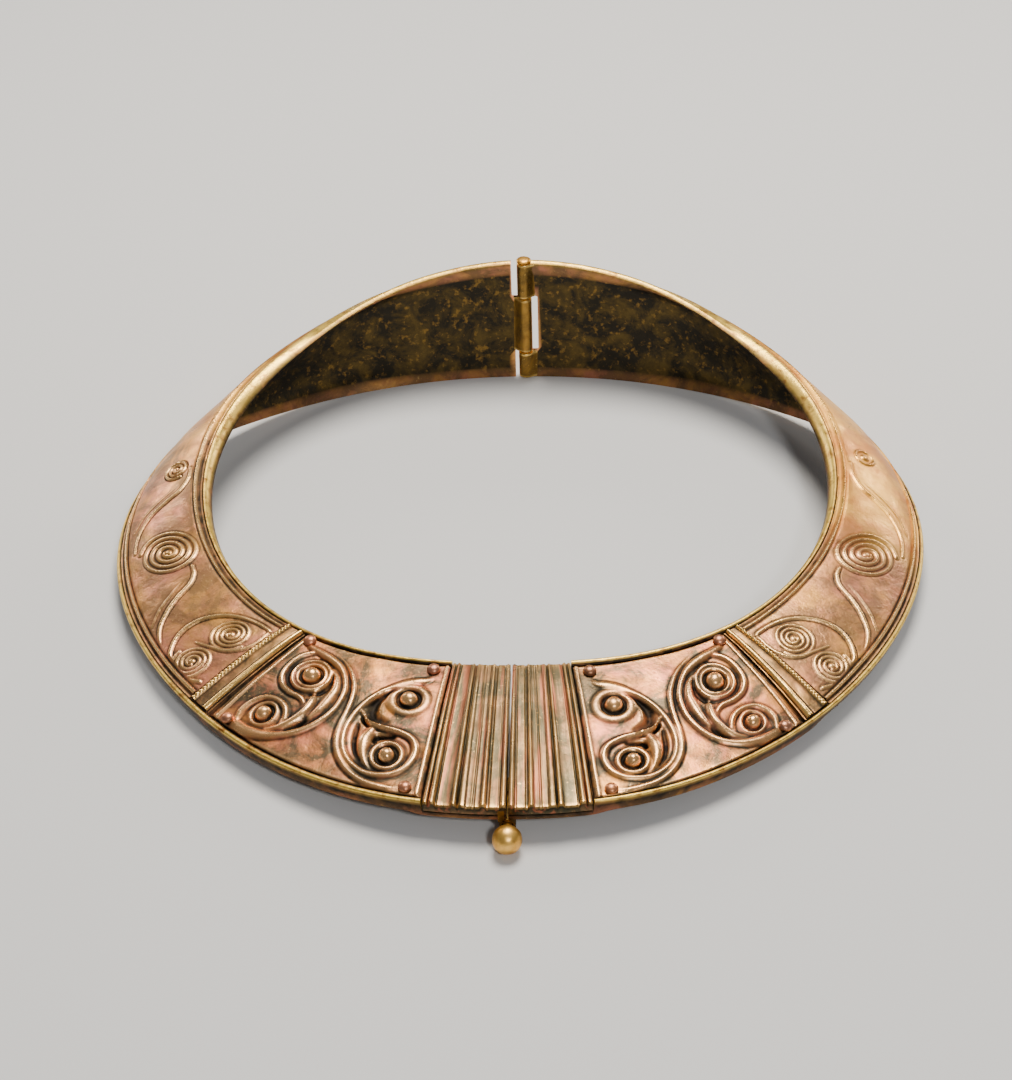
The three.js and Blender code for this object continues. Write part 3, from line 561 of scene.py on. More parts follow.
def worn_metal_group():
    """Old worked metal: flushed and tarnished patches, pits, rubbed high edges, and a dark colour where the hollow mark
    lies, which is grime and patina in the relief and painted shade on rim sides and in the gaps round laid pieces.
    """
    tree = bpy.data.node_groups.new("old_metal", "ShaderNodeTree")
    colours, amounts = ("Metal", "Flush", "Tarnish", "DirtAndShade", "Bright"), ("Hollow", "Worn", "Tarnished", "Pitting")
    tree.interface.new_socket("Where", in_out="INPUT", socket_type="NodeSocketVector")
    for name in colours:
        tree.interface.new_socket(name, in_out="INPUT", socket_type="NodeSocketColor")
    for name in amounts:
        tree.interface.new_socket(name, in_out="INPUT", socket_type="NodeSocketFloat")
    for name, kind in (("Color", "NodeSocketColor"), ("Roughness", "NodeSocketFloat"), ("Height", "NodeSocketFloat")):
        tree.interface.new_socket(name, in_out="OUTPUT", socket_type=kind)
    come = tree.nodes.new("NodeGroupInput").outputs
    where = come["Where"]
    cloud = noise(tree, where, 70.0, 5.0, 0.62, 0.5)
    bloom = noise(tree, put(tree, "ShaderNodeMapping", Vector=where, Location=(0.3, 0.1, 0.2)).outputs[0], 110.0, 6.0, 0.66, 0.8)
    mottle = noise(tree, where, 300.0, 5.0, 0.65, 0.3)
    grain = noise(tree, where, 1500.0, 3.0, 0.6)
    colour = mixed(tree, remap(tree, cloud, 0.4, 0.62), come["Metal"], come["Flush"])
    share = maths(tree, "MULTIPLY", remap(tree, bloom, 0.41, 0.57), come["Tarnished"])
    # The hollow mark pulls towards tarnish here and towards the dark colour below; where the band marks rim sides and
    # gaps, that is painted shade.
    share = maths(tree, "ADD", share, maths(tree, "MULTIPLY", come["Hollow"], 0.35))
    colour = mixed(tree, held(tree, share), colour, come["Tarnish"])
    spots = maths(tree, "MULTIPLY", remap(tree, mottle, 0.52, 0.74), come["Pitting"])
    colour = mixed(tree, spots, colour, come["DirtAndShade"])
    specks = maths(tree, "MULTIPLY", remap(tree, grain, 0.62, 0.7), remap(tree, bloom, 0.5, 0.56, 0.0, 0.55))
    colour = mixed(tree, specks, colour, come["Bright"])
    uneven = remap(tree, mottle, 0.3, 0.7, 1.2, 0.65)
    # Hollows take the dark colour: grime and patina in the relief, painted shade on rim sides and in gaps.
    hollow = held(tree, maths(tree, "MULTIPLY", come["Hollow"], uneven))
    colour = mixed(tree, hollow, colour, come["DirtAndShade"])
    worn = held(tree, maths(tree, "MULTIPLY", come["Worn"], uneven))
    colour = mixed(tree, worn, colour, come["Bright"])
    rough = remap(tree, mottle, 0.3, 0.7, 0.27, 0.46)
    rough = maths(tree, "ADD", rough, maths(tree, "MULTIPLY", hollow, 0.2))
    rough = maths(tree, "SUBTRACT", rough, maths(tree, "MULTIPLY", worn, 0.1))
    height = maths(tree, "ADD", maths(tree, "MULTIPLY", mottle, 0.75), maths(tree, "MULTIPLY", grain, 0.25))
    out = tree.nodes.new("NodeGroupOutput").inputs
    tree.links.new(colour, out["Color"])
    tree.links.new(rough, out["Roughness"])
    tree.links.new(height, out["Height"])
    return tree


OLD_METAL = worn_metal_group()


def rgb(red, green, blue):
    """A colour given as it looks on a screen, from 0 to 255."""
    def straight(c):
        c = c / 255
        return c / 12.92 if c <= 0.04045 else ((c + 0.055) / 1.055) ** 2.4
    return (straight(red), straight(green), straight(blue), 1.0)


def mark(tree, name):
    return put(tree, "ShaderNodeAttribute", set_attribute_name=name).outputs["Fac"]


def finish_of(name, metal, flush, tarnish, dirt_and_shade, bright, tarnished=0.6, pitting=0.3, metallic=0.85, bump=0.3):
    """A finish with its shader, and the group whose colour a piece's own marks are worked into."""
    material = bpy.data.materials.new(name)
    material.use_nodes = True
    tree = material.node_tree
    shader = tree.nodes["Principled BSDF"]
    shader.inputs["Metallic"].default_value = metallic
    group = tree.nodes.new("ShaderNodeGroup")
    group.node_tree = OLD_METAL
    tree.links.new(tree.nodes.new("ShaderNodeTexCoord").outputs["Object"], group.inputs["Where"])
    for key, value in (
        ("Metal", metal), ("Flush", flush), ("Tarnish", tarnish), ("DirtAndShade", dirt_and_shade), ("Bright", bright),
        ("Tarnished", tarnished), ("Pitting", pitting),
    ):
        group.inputs[key].default_value = value
    tree.links.new(mark(tree, "hollow"), group.inputs["Hollow"])
    tree.links.new(mark(tree, "worn"), group.inputs["Worn"])
    rise = put(tree, "ShaderNodeBump", Strength=bump, Distance=0.0004, Height=group.outputs["Height"])
    tree.links.new(group.outputs["Color"], shader.inputs["Base Color"])
    tree.links.new(group.outputs["Roughness"], shader.inputs["Roughness"])
    tree.links.new(rise.outputs["Normal"], shader.inputs["Normal"])
    return material, tree, group, shader


def sheet_finish():
    """The band: pinkish worked face, turning a yellow-gold colour with painted sheen towards the back, gold rims, and a
    dark mottled inner wall that is partly tarnish and partly painted shade.
    """
    material, tree, group, shader = finish_of(
        "band_sheet", rgb(240, 154, 116), rgb(248, 178, 92), rgb(134, 104, 74), rgb(40, 31, 19), rgb(255, 206, 132),
        tarnished=0.7, bump=0.5,
    )
    where = group.inputs["Where"].links[0].from_socket
    colour = group.outputs["Color"]
    # Towards the back the face takes a yellow-gold colour: partly the metal's own tone, partly painted sheen.
    warm_gold_and_sheen = mixed(tree, remap(tree, noise(tree, where, 110.0, 5.0, 0.6), 0.42, 0.6), rgb(255, 192, 84), rgb(216, 140, 60))
    colour = mixed(tree, maths(tree, "MULTIPLY", mark(tree, "gold_and_sheen"), 0.85), colour, warm_gold_and_sheen)
    gold = mixed(tree, remap(tree, noise(tree, where, 420.0), 0.5, 0.72), rgb(255, 214, 100), rgb(160, 104, 44))
    colour = mixed(tree, mark(tree, "rim"), colour, gold)
    # The inner wall's dark, mottled colour: partly tarnish, partly painted shade.
    patch = remap(tree, noise(tree, where, 120.0, 7.0, 0.72, 0.4), 0.44, 0.62)
    wall = mixed(tree, patch, rgb(36, 32, 24), rgb(82, 66, 32))
    fleck = remap(tree, noise(tree, where, 620.0, 3.0, 0.6), 0.56, 0.7)
    wall = mixed(tree, maths(tree, "MULTIPLY", fleck, 0.6), wall, rgb(140, 106, 48))
    colour = mixed(tree, mark(tree, "inner"), colour, wall)
    tree.links.new(colour, shader.inputs["Base Color"])
    return material


def terminal_finish():
    """The reeds: grey-brown flutes with fine lengthwise streaks between rubbed crests."""
    material, tree, group, shader = finish_of(
        "reeded_end", rgb(146, 106, 70), rgb(128, 102, 68), rgb(76, 72, 52), rgb(24, 21, 14), rgb(255, 200, 116),
        tarnished=0.85,
    )
    across = put(tree, "ShaderNodeAttribute", set_attribute_name="place").outputs["Vector"]
    drawn = put(tree, "ShaderNodeMapping", Vector=across, Scale=(1.0, 0.06, 1.0)).outputs[0]
    streak = remap(tree, noise(tree, drawn, 1.6, 4.0, 0.6), 0.45, 0.62)
    colour = mixed(tree, maths(tree, "MULTIPLY", streak, 0.65), group.outputs["Color"], rgb(72, 64, 44))
    rosy = remap(tree, noise(tree, drawn, 0.7, 2.0), 0.54, 0.64)
    colour = mixed(tree, maths(tree, "MULTIPLY", rosy, 0.6), colour, rgb(176, 100, 70))
    tree.links.new(colour, shader.inputs["Base Color"])
    return material


band_metal = sheet_finish()
panel_metal = finish_of(
    "scroll_panel", rgb(222, 132, 98), rgb(238, 160, 78), rgb(92, 80, 60), rgb(24, 18, 12), rgb(255, 198, 132),
    tarnished=0.95, bump=0.35,
)[0]
reed_metal = terminal_finish()
bar_metal = finish_of(
    "cross_bar", rgb(222, 158, 108), rgb(236, 176, 98), rgb(112, 94, 68), rgb(44, 34, 22), rgb(255, 208, 120),
    tarnished=0.8, pitting=0.7,
)[0]
rivet_metal = finish_of(
    "rivet_heads", rgb(226, 150, 118), rgb(210, 140, 96), rgb(110, 90, 70), rgb(30, 24, 18), rgb(255, 196, 150), pitting=0.5,
)[0]
knuckle_metal = finish_of(
    "hinge_knuckles", rgb(150, 114, 50), rgb(176, 130, 56), rgb(84, 68, 36), rgb(36, 30, 18), rgb(255, 212, 120), pitting=0.5,
)[0]
pin_metal = finish_of(
    "pins", rgb(248, 184, 80), rgb(255, 204, 104), rgb(190, 128, 50), rgb(110, 72, 30), rgb(255, 226, 150),
    tarnished=0.5, pitting=0.3, metallic=0.9,
)[0]

# ---- The band of each half ----------------------------------------------------------------------------

HINGE_Y = 91.5 + SHIFT_BACK
KNUCKLE = 1.9
SLOT, NARROW_SLOT = 3.5, 2.8
BOTTOM, MIDDLE_ROW, TOP = (0.2, 7.6), (8.0, 23.8), (24.2, 34.3)

NECK_RIM_FRONT = [(0, -0.8), (0, 0.1), (-0.08, 0.36), (-0.3, 0.5), (-0.55, 0.52), (-0.8, 0.42), (-1.05, 0.15), (-1.28, -0.1)]
NECK_RIM_BACK = [(0.75, -1.0), (1.15, -0.5), (1.3, 0.1), (1.2, 0.62), (0.8, 0.98), (0.1, 1.1), (-0.6, 1.0), (-1.15, 0.5)]
OUTER_RIM = [(-1.28, -0.05), (-1.05, 0.2), (-0.8, 0.42), (-0.55, 0.52), (-0.3, 0.5), (-0.08, 0.36), (0, 0.1), (0, -0.8)]
# How gold each point of a rim's profile is; the rest of the profile, the rim's sides and the groove beside the panel,
# is darkened below as painted shade.
NECK_RIM_GOLD = [0, 0.3, 0.9, 1, 1, 0.7, 0, 0]
NECK_RIM_BACK_GOLD = [0.2, 0.8, 1, 1, 1, 1, 0.8, 0.2]
OUTER_RIM_GOLD = [0, 0, 0.6, 1, 1, 0.9, 0.2, 0]
NEAR_EDGE = [1.34, 1.5, 1.7, 1.9, 2.1, 2.3, 2.5, 2.65, 2.8, 2.95, 3.1, 3.3, 3.5, 3.7, 3.95, 4.2]
MIDDLE_POINTS = 104
UNDER_POINTS = 12


def edge_dress(d):
    """Groove, raised border line and the dark line beside it, by the distance from the edge."""
    line_up = 0.42 * np.clip(1 - ((d - 2.75) / 0.45) ** 2, 0, 1) ** 0.8
    return line_up - 0.22 * np.exp(-(((d - 1.85) / 0.3) ** 2)) - 0.14 * np.exp(-(((d - 3.4) / 0.22) ** 2))


def make_band(name, side):
    s = np.r_[
        np.linspace(0, 15.02, 8), 15.12, np.linspace(16, 59.8, 50), 60.0, np.linspace(60.8, 66.0, 8),
        66.1, np.linspace(66.35, 150, 300), np.linspace(150.5, BAND_LENGTH, 56),
    ][:, None]
    edge = width_at(s) / 2
    back = on_edge(turn_at(s))
    neck_past = np.array([[(1 - b) * f[0] + b * k[0] for f, k in zip(NECK_RIM_FRONT, NECK_RIM_BACK)] for b in back[:, 0]])
    neck_h = np.array([[(1 - b) * f[1] + b * k[1] for f, k in zip(NECK_RIM_FRONT, NECK_RIM_BACK)] for b in back[:, 0]])
    near = np.array(NEAR_EDGE)[None, :]
    middle = np.linspace(-1, 1, MIDDLE_POINTS)[None, :] * (edge - 4.4)
    face_q = np.hstack([near - edge, middle, (edge - near)[:, ::-1]])
    away = edge - np.abs(face_q)
    figures = side_relief(s, face_q, side)
    fade = ease((away - 3.6) / 0.8)
    worked = figures * fade + np.where(away < 4.2, edge_dress(away), 0)
    worked = worked + 0.10 * lumps(s, face_q, 17.0, 3) * ease((away - 2) / 3) + 0.03 * lumps(s, face_q, 5.0, 4)
    hollow, worn = hollow_and_worn(worked, 0.26)
    tray = np.where(s < 60.05, -PANEL_TRAY, -BAR_TRAY)
    face_h = np.where(s < 66.05, tray, worked)
    low = s < 15.07
    face_h = np.where(low, -TERMINAL_TRAY, face_h)
    neck_h = np.where(low, np.minimum(neck_h, -TERMINAL_TRAY), neck_h)
    outer = np.array(OUTER_RIM)
    outer_q = edge + outer[None, :, 0]
    outer_h = np.where(low, np.minimum(outer[None, :, 1], -TERMINAL_TRAY), outer[None, :, 1] + 0 * s)
    trays = PANEL_TRAY * (1 - ease((s - BAR_START) / (BAR_END - BAR_START)))
    step = (TERMINAL_TRAY - PANEL_TRAY) * (1 - ease((s - TERMINAL_END) / 4))
    under_q = np.linspace(1, -1, UNDER_POINTS)[None, :] * (edge - 0.05)
    under_h = -(SHEET + trays + step) + 0 * under_q
    q = np.hstack([-edge - neck_past, face_q, outer_q, under_q])
    h = np.hstack([neck_h, face_h, outer_h, under_h])
    place = on_band(s + 0 * q, q, h, side)
    place[..., 2] = np.maximum(place[..., 2], 0)
    n, m, k, u = neck_h.shape[1], face_q.shape[1], outer_q.shape[1], UNDER_POINTS
    rows = len(s)
    blank = np.zeros((rows, n + m + k + u))
    masks = {key: blank.copy() for key in ("hollow", "worn", "rim", "inner", "gold_and_sheen")}
    # On the worked face the hollow mark is the relief's patina; on the trays under the panel, ends and bar it is 0.9
    # all over, painted shade in the gaps round the laid pieces.
    masks["hollow"][:, n : n + m] = np.where(s < 66.2, 0.9, hollow)
    masks["worn"][:, n : n + m] = np.where(s < 66.2, 0, worn)
    on_top = np.where(s < 15.1, 0, 1.0)
    masks["rim"][:, :n] = on_top * ((1 - back) * np.array([NECK_RIM_GOLD]) + back * np.array([NECK_RIM_BACK_GOLD]))
    masks["rim"][:, n + m : n + m + k] = on_top * np.array([OUTER_RIM_GOLD])
    # Off the gold tops, the rims' sides and the groove beside the panel are marked hollow: painted shade.
    masks["hollow"][:, :n] = 1 - masks["rim"][:, :n]
    masks["hollow"][:, n + m : n + m + k] = 1 - masks["rim"][:, n + m : n + m + k]
    masks["inner"][:, n + m + k :] = 1
    masks["inner"][:, [n + m + k, -1]] = 0
    masks["hollow"][:, [n + m + k, -1]] = 0.5
    # The face turns gold towards the back of each half, more on the right: partly the metal's own tone, partly painted
    # sheen.
    gold_and_sheen_from = ease((s - 104) / 22) if side > 0 else ease((s - 150) / 12) * 0.7
    masks["gold_and_sheen"][:, n : n + m] = gold_and_sheen_from
    return lofted(name, place, masks, band_metal, body_of(side), "band_bronze")


def cut_away(piece, low, high, round_off=0.5):
    """Cuts a slot with rounded corners through a piece."""
    bm = bmesh.new()
    size = np.subtract(high, low)
    middle = np.add(high, low) / 2
    bmesh.ops.create_cube(bm, size=1)
    bmesh.ops.scale(bm, vec=Vector(size * MM), verts=bm.verts)
    bmesh.ops.translate(bm, vec=Vector(middle * MM), verts=bm.verts)
    along_y = [e for e in bm.edges if abs(e.verts[0].co.y - e.verts[1].co.y) > 1e-4]
    bmesh.ops.bevel(bm, geom=along_y, offset=round_off * MM, segments=4, profile=0.5, affect="EDGES", material=-1)
    mesh = bpy.data.meshes.new("slot_cutter")
    bm.to_mesh(mesh)
    bm.free()
    cutter = bpy.data.objects.new("slot_cutter", mesh)
    bpy.context.scene.collection.objects.link(cutter)
    modifier = piece.modifiers.new("slot", "BOOLEAN")
    modifier.operation = "DIFFERENCE"
    modifier.solver = "EXACT"
    modifier.object = cutter
    worked = bpy.data.meshes.new_from_object(piece.evaluated_get(bpy.context.evaluated_depsgraph_get()))
    piece.modifiers.remove(modifier)
    old = piece.data
    piece.data = worked
    bpy.data.meshes.remove(old)
    worked.name = piece.name
    bpy.data.objects.remove(cutter)
    bpy.data.meshes.remove(mesh)


def make_knuckle(name, side, low, high):
    """One knuckle of the hinge, rolled from the wall's end and running smoothly into it."""
    z = np.r_[low, low + 0.12, low + 0.3, np.linspace(low + 0.8, high - 0.8, 12), high - 0.3, high - 0.12, high]
    inset = np.array([0.28, 0.08] + [0.0] * (len(z) - 4) + [0.08, 0.28])
    edge = float(width_at(np.array(BAND_LENGTH))) / 2
    wall = on_band(BAND_LENGTH - 3.4, np.linspace(-edge, edge, 60), -SHEET / 2, 1) / MM
    order = np.argsort(wall[:, 2])
    wall_x = np.interp(z, wall[order, 2], wall[order, 0])
    wall_y = np.interp(z, wall[order, 2], wall[order, 1]) - HINGE_Y
    turns = np.linspace(-math.pi / 2, -3 * math.pi / 2, 25)
    rings = []
    for level, cut, x_end, y_end in zip(z, inset, wall_x, wall_y):
        r = KNUCKLE - cut
        free = [(r * math.cos(a), r * math.sin(a)) for a in turns]
        outer = [(x_end * f, r + (y_end + 0.35 - r) * float(ease(f))) for f in np.linspace(0.1, 1, 10)]
        inner = [(x_end * f, -r + (y_end - 0.35 + r) * float(ease(f))) for f in np.linspace(1, 0.1, 12)]
        rings.append([(side * x, y + HINGE_Y, level) for x, y in free + outer + inner])
    place = np.array(rings) * MM
    rubbed = np.zeros(place.shape[:2])
    rubbed[:3] = rubbed[-3:] = 0.8
    return lofted(name, place, {"worn": rubbed, "hollow": rubbed * 0}, knuckle_metal, body_of(side), "band_bronze")


# ---- Pieces laid on the band --------------------------------------------------------------------------


def laid_block(side, s, q, top, low):
    """A block on the band with a worked top. s is a column of stations, q and top are grids, low its foot."""
    reach = np.abs(q).max(1, keepdims=True)
    under = np.linspace(1, -1, 8)[None, :] * reach
    all_q = np.hstack([q, under])
    all_h = np.hstack([top, low + 0 * under])
    step = float(np.median(np.diff(q[len(q) // 2])))
    hollow, worn = hollow_and_worn(top, step)
    grid = lambda field: np.hstack([field, np.full(under.shape, 0.0)])
    place = on_band(s + 0 * all_q, all_q, all_h, side)
    masks = {"hollow": grid(hollow), "worn": grid(worn)}
    return place, masks


def make_panel(name, side):
    s = np.linspace(PANEL_START, PANEL_END + SEAM_CLOSE, 226)[:, None]
    reach = width_at(s) / 2 - RIM - CLEAR
    q = np.linspace(-1, 1, 176)[None, :] * reach
    top = panel_relief(s, q) + 0.12 * lumps(s, q, 16.0, 7) + 0.03 * lumps(s, q, 4.0, 8)
    place, masks = laid_block(side, s, q, top, -PANEL_TRAY + CLEAR)
    return lofted(name, place, masks, panel_metal, body_of(side), "panel_bronze")


# Across each reeded end: (place from the seam, half width, height or depth).
REEDS = [(0.55, 0.45, 0.5), (4.1, 0.42, 0.6), (7.9, 0.6, 0.3), (9.3, 0.42, 0.55), (13.2, 0.5, 0.65), (14.35, 0.35, 0.35)]
FLUTES = [
    (2.3, 1.3, 0.1), (3.35, 0.4, 0.25), (5.1, 0.45, 0.08), (5.8, 0.3, 0.18), (6.8, 0.6, 0.06), (8.65, 0.28, 0.25),
    (11.2, 1.3, 0.12), (12.45, 0.3, 0.25), (13.85, 0.2, 0.2), (1.3, 0.25, 0.12),
]


def make_terminal(name, side):
    s = np.linspace(0.0, TERMINAL_END, 150)[:, None]
    edge = width_at(s) / 2
    q = np.linspace(-1, 1, 100)[None, :] * edge
    out = q / edge
    top = -0.2 + 0 * (s + q)
    for at, half, rise in REEDS:
        wide = half * (1 + 0.35 * out)
        top = top + rise * (0.8 + 0.35 * out) * np.clip(1 - ((s - at) / wide) ** 2, 0, 1) ** 0.7
    for at, half, depth in FLUTES:
        top = top - depth * np.clip(1 - ((s - at) / half) ** 2, 0, 1) ** 0.8
    top = top + 0.05 * lumps(s, q, 9.0, 12)
    ends = np.clip((1 - np.abs(out)) * edge / 0.5, 0, 1)
    top = top - 0.5 * (1 - ends) ** 2
    place, masks = laid_block(side, s, q, top, -TERMINAL_TRAY + CLEAR)
    masks["place"] = np.stack(np.broadcast_arrays(s, np.hstack([q, q[:, :8] * 0]), 7.0 * side), -1)
    # The ends are also darkened, marked half hollow, where they lie less than 5.5 mm above the floor.
    masks["hollow"] = np.maximum(masks["hollow"], 0.5 * (place[..., 2] < 0.0055))
    return lofted(name, place, masks, reed_metal, body_of(side), "terminal_bronze")


def make_bar(name, side):
    s = np.linspace(BAR_START - SEAM_CLOSE, BAR_END, 46)[:, None]
    reach = width_at(s) / 2 - RIM - CLEAR
    q = np.linspace(-1, 1, 236)[None, :] * reach
    top = 0.3 + 0 * (s + q)
    top = top + 0.65 * np.clip(1 - ((s - 61.1) / 0.7) ** 2, 0, 1) ** 0.7
    top = top - 0.15 * np.clip(1 - ((s - 62.0) / 0.3) ** 2, 0, 1)
    top = top + 0.45 * np.clip(1 - ((s - 64.95) / 0.65) ** 2, 0, 1) ** 0.7
    beads = np.hypot((q / 0.95 + 0.5) % 1 - 0.5, (s - 64.95) / 1.05)
    top = top + 0.25 * np.clip(1 - (beads / 0.5) ** 2, 0, 1) ** 0.7
    ends = np.clip(np.minimum(s - BAR_START, BAR_END - s) / 0.4, 0, 1)
    top = top - 0.5 * (1 - ends) ** 2 + 0.05 * lumps(s, q, 3.0, 15)
    place, masks = laid_block(side, s, q, top, -BAR_TRAY + CLEAR)
    return lofted(name, place, masks, bar_metal, body_of(side), "bar_bronze")


def spun(profile, segments=40):
    """A turned body standing on +Z. profile is a list of (radius, height) in millimetres."""
    bm = bmesh.new()
    points = [bm.verts.new((r * MM, 0, z * MM)) for r, z in profile]
    edges = [bm.edges.new(pair) for pair in zip(points, points[1:])]
    bmesh.ops.spin(bm, geom=points + edges, cent=(0, 0, 0), axis=(0, 0, 1), angle=2 * math.pi, steps=segments, use_merge=True)
    bmesh.ops.remove_doubles(bm, verts=bm.verts, dist=1e-7)
    bmesh.ops.recalc_face_normals(bm, faces=bm.faces)
    return bm


def make_rivet(name, side, s, q):
    head = [(1.46 * math.cos(a), 0.3 + 1.1 * math.sin(a) ** 0.9) for a in np.linspace(0, math.pi / 2, 10)]
    head[-1] = (0, head[-1][1])
    bm = spun([(0, -2.6), (0.8, -2.6), (0.8, 0.25), (1.35, 0.2), *head], 28)
    seat, above = on_band(np.array([s, s]), np.array([q, q]), np.array([0.0, 1.0]), side)
    turn = Vector(above - seat).normalized().to_track_quat("Z", "Y").to_matrix().to_4x4()
    bmesh.ops.transform(bm, matrix=Matrix.Translation(Vector(seat)) @ turn, verts=bm.verts)
    return keep(bm, name, rivet_metal, body_of(side), "rivet_bronze")


for half, side in SIDES.items():
    band = make_band(f"{half}_band_sheet", side)
    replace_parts(band, f"{half}_band")
    low, high = (-1, 3.4) if side > 0 else (-3.4, 1)
    if side > 0:
        cut_away(band, (-1, HINGE_Y - 6, MIDDLE_ROW[0] - 0.4), (SLOT - 0.1, HINGE_Y + 6, MIDDLE_ROW[1] + 0.4))
        make_knuckle("right_knuckle_bottom", side, *BOTTOM)
        make_knuckle("right_knuckle_top", side, *TOP)
    else:
        cut_away(band, (-NARROW_SLOT, HINGE_Y - 6, -3), (1, HINGE_Y + 6, BOTTOM[1] + 0.4))
        cut_away(band, (0.1 - SLOT, HINGE_Y - 6, TOP[0] - 0.4), (1, HINGE_Y + 6, 45))
        make_knuckle("left_knuckle_middle", side, *MIDDLE_ROW)
    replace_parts(make_panel(f"{half}_scroll_panel", side), f"{half}_front_panel")
    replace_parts(make_terminal(f"{half}_reeded_end", side), f"{half}_terminal")
    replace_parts(make_bar(f"{half}_beaded_bar", side), f"{half}_cross_bar")
    for i, (s, q) in enumerate(RIVETS):
        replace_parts(make_rivet(f"{half}_rivet_head_{i + 1}", side, s, q), f"{half}_rivet_{i + 1}")

# ---- Pins and clasp -----------------------------------------------------------------------------------

pin_low, pin_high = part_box("hinge_pin")
foot, crest = pin_low.z / MM, pin_high.z / MM
bm = spun([
    (0, foot), (0.85, foot), (0.85, crest - 0.9), (1.7, crest - 0.9), (1.92, crest - 0.72),
    (1.92, crest - 0.5), (1.7, crest - 0.26), (1.1, crest - 0.08), (0, crest),
])
bmesh.ops.translate(bm, vec=Vector((0, HINGE_Y * MM, 0)), verts=bm.verts)
hinge_pin = keep(bm, "hinge_pin_turned", pin_metal, "right_half", "pin_brass")
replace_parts(hinge_pin, "hinge_pin")

ball_low, ball_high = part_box("clasp_pin")
CLASP_Z = (ball_low.z + ball_high.z) / 2 / MM
BALL = (ball_high.z - ball_low.z) / 2 / MM
BALL_Y = ball_low.y / MM + BALL
bm = bmesh.new()
bmesh.ops.create_icosphere(bm, subdivisions=5, radius=BALL * 0.985 * MM)
for v in bm.verts:
    way = v.co.normalized()
    dent = float(lumps(np.array(way.x * 9), np.array(way.y * 9 + way.z * 7), 9.0, 21))
    v.co *= 1 + 0.012 * dent - 0.03 * max(0, way.z - 0.75)
bmesh.ops.translate(bm, vec=Vector((0, BALL_Y * MM, CLASP_Z * MM)), verts=bm.verts)
shaft = ball_high.y / MM - BALL_Y
rod = bmesh.ops.create_cone(
    bm, cap_ends=True, segments=24, radius1=0.95 * MM, radius2=0.8 * MM, depth=shaft * MM,
    matrix=Matrix.Translation(Vector((0, (BALL_Y + shaft / 2) * MM, CLASP_Z * MM))) @ Matrix.Rotation(-math.pi / 2, 4, "X"),
)
clasp_pin = keep(bm, "clasp_pin_ball", pin_metal, "left_half", "pin_brass")
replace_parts(clasp_pin, "clasp_pin")

LOOP, LOOP_BORE, LOOP_LENGTH, LOOP_GAP, LOOP_FRONT = 1.7, 1.25, 4.0, 0.4, -88.1


def make_loop(name, side, index, opened):
    """A clasp loop under the seam. The right half's loop is open towards the seam, so the halves can part."""
    y = LOOP_FRONT + index * (LOOP_LENGTH + LOOP_GAP)
    bm = bmesh.new()
    ring = [(LOOP_BORE, y), (LOOP, y), (LOOP, y + LOOP_LENGTH), (LOOP_BORE, y + LOOP_LENGTH)]
    corners = [bm.verts.new((r * MM, yy * MM, 0)) for r, yy in ring]
    face = bm.faces.new(corners)
    turn = math.pi if opened else 2 * math.pi
    start = Matrix.Rotation(math.pi / 2 if opened else 0, 4, "Y")
    bmesh.ops.transform(bm, matrix=start, verts=bm.verts)
    if opened:
        bmesh.ops.spin(bm, geom=[face], cent=(0, 0, 0), axis=(0, 1, 0), angle=-turn, steps=20)
    else:
        bmesh.ops.spin(bm, geom=face.edges[:] + face.verts[:], cent=(0, 0, 0), axis=(0, 1, 0), angle=turn, steps=36, use_merge=True)
        bmesh.ops.delete(bm, geom=[f for f in bm.faces if len(f.verts) == 4 and f.is_valid and f is face], context="FACES_ONLY")
        bmesh.ops.remove_doubles(bm, verts=bm.verts, dist=1e-7)
    bmesh.ops.translate(bm, vec=Vector((0, 0, CLASP_Z * MM)), verts=bm.verts)
    web = bmesh.ops.create_cube(bm, size=1)["verts"]
    bmesh.ops.scale(bm, vec=Vector((1.3, LOOP_LENGTH, 3.0)) * MM, verts=web)
    bmesh.ops.translate(bm, vec=Vector((side * 1.3, y + LOOP_LENGTH / 2, CLASP_Z + 2.5)) * MM, verts=web)
    bmesh.ops.recalc_face_normals(bm, faces=bm.faces)
    return keep(bm, name, knuckle_metal, body_of(side), "band_bronze")


make_loop("left_clasp_loop_front", -1, 0, False)
make_loop("right_clasp_loop", 1, 1, True)
make_loop("left_clasp_loop_back", -1, 2, False)

# ---- Floor, light and camera --------------------------------------------------------------------------

bm = bmesh.new()
bmesh.ops.create_grid(bm, x_segments=1, y_segments=1, size=3)
mesh = bpy.data.meshes.new("floor")
bm.to_mesh(mesh)
bm.free()
floor = bpy.data.objects.new("floor", mesh)
bpy.context.scene.collection.objects.link(floor)
paper = bpy.data.materials.new("pale_floor")
paper.use_nodes = True
paper.node_tree.nodes["Principled BSDF"].inputs["Base Color"].default_value = (0.74, 0.74, 0.73, 1)
paper.node_tree.nodes["Principled BSDF"].inputs["Roughness"].default_value = 0.9
mesh.materials.append(paper)

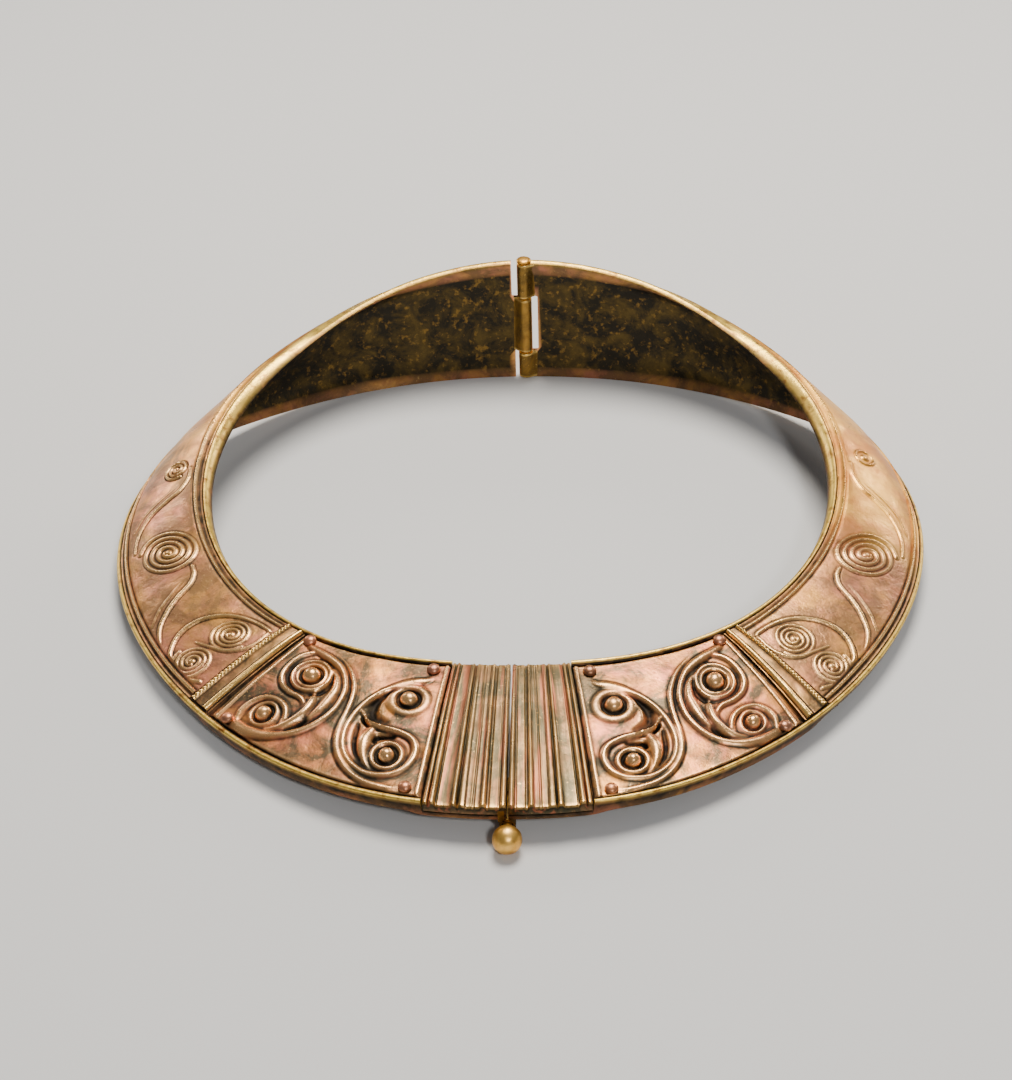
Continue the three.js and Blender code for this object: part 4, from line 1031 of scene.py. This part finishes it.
world = bpy.data.worlds.new("studio")
world.use_nodes = True
world.node_tree.nodes["Background"].inputs["Color"].default_value = (0.92, 0.94, 1.0, 1)
world.node_tree.nodes["Background"].inputs["Strength"].default_value = 0.16
bpy.context.scene.world = world


def soft_light(name, place, aim, size, power, colour=(1, 1, 1)):
    data = bpy.data.lights.new(name, "AREA")
    data.shape = "DISK"
    data.size = size
    data.energy = power
    data.color = colour
    lamp = bpy.data.objects.new(name, data)
    lamp.location = place
    lamp.rotation_euler = (Vector(aim) - Vector(place)).to_track_quat("-Z", "Y").to_euler()
    bpy.context.scene.collection.objects.link(lamp)


soft_light("overhead", (0.05, 0.3, 0.8), (0, 0, 0), 0.45, 10.5, (1, 0.94, 0.86))
soft_light("front", (0.25, -0.75, 0.65), (0, 0, 0), 0.14, 3.2)
for place, power in (((-0.65, 0.75, 0.35), 1.6), ((0.65, 0.75, 0.35), 2.0)):
    soft_light("side", place, (0, 0, 0), 0.3, power, (1, 0.95, 0.88))

# The camera stands in front of the clasp, looking down into the collar, a touch to the right and rolled.
LOOK_TURN, LOOK_DOWN, LOOK_ROLL, DISTANCE, AIM_Y = (math.radians(2.416), math.radians(36.787), math.radians(-1.737), 500.677, -6.0)
away = Vector((math.sin(LOOK_TURN) * math.cos(LOOK_DOWN), -math.cos(LOOK_TURN) * math.cos(LOOK_DOWN), math.sin(LOOK_DOWN)))
level = Vector((math.cos(LOOK_TURN), math.sin(LOOK_TURN), 0))
rise = away.cross(level)
right_way = level * math.cos(LOOK_ROLL) + rise * math.sin(LOOK_ROLL)
up_way = -level * math.sin(LOOK_ROLL) + rise * math.cos(LOOK_ROLL)
lens = bpy.data.cameras.new("camera")
lens.sensor_fit = "AUTO"
lens.sensor_width = 36
lens.lens = 2129.72 / 1080 * 36
lens.shift_x, lens.shift_y = -11.87 / 1080, 50.14 / 1080
lens.clip_end = 20
camera = bpy.data.objects.new("camera", lens)
camera.matrix_world = Matrix((right_way, up_way, away)).transposed().to_4x4()
camera.location = (Vector((0, AIM_Y + SHIFT_BACK, 0)) + away * DISTANCE) * MM
bpy.context.scene.collection.objects.link(camera)
bpy.context.scene.camera = camera
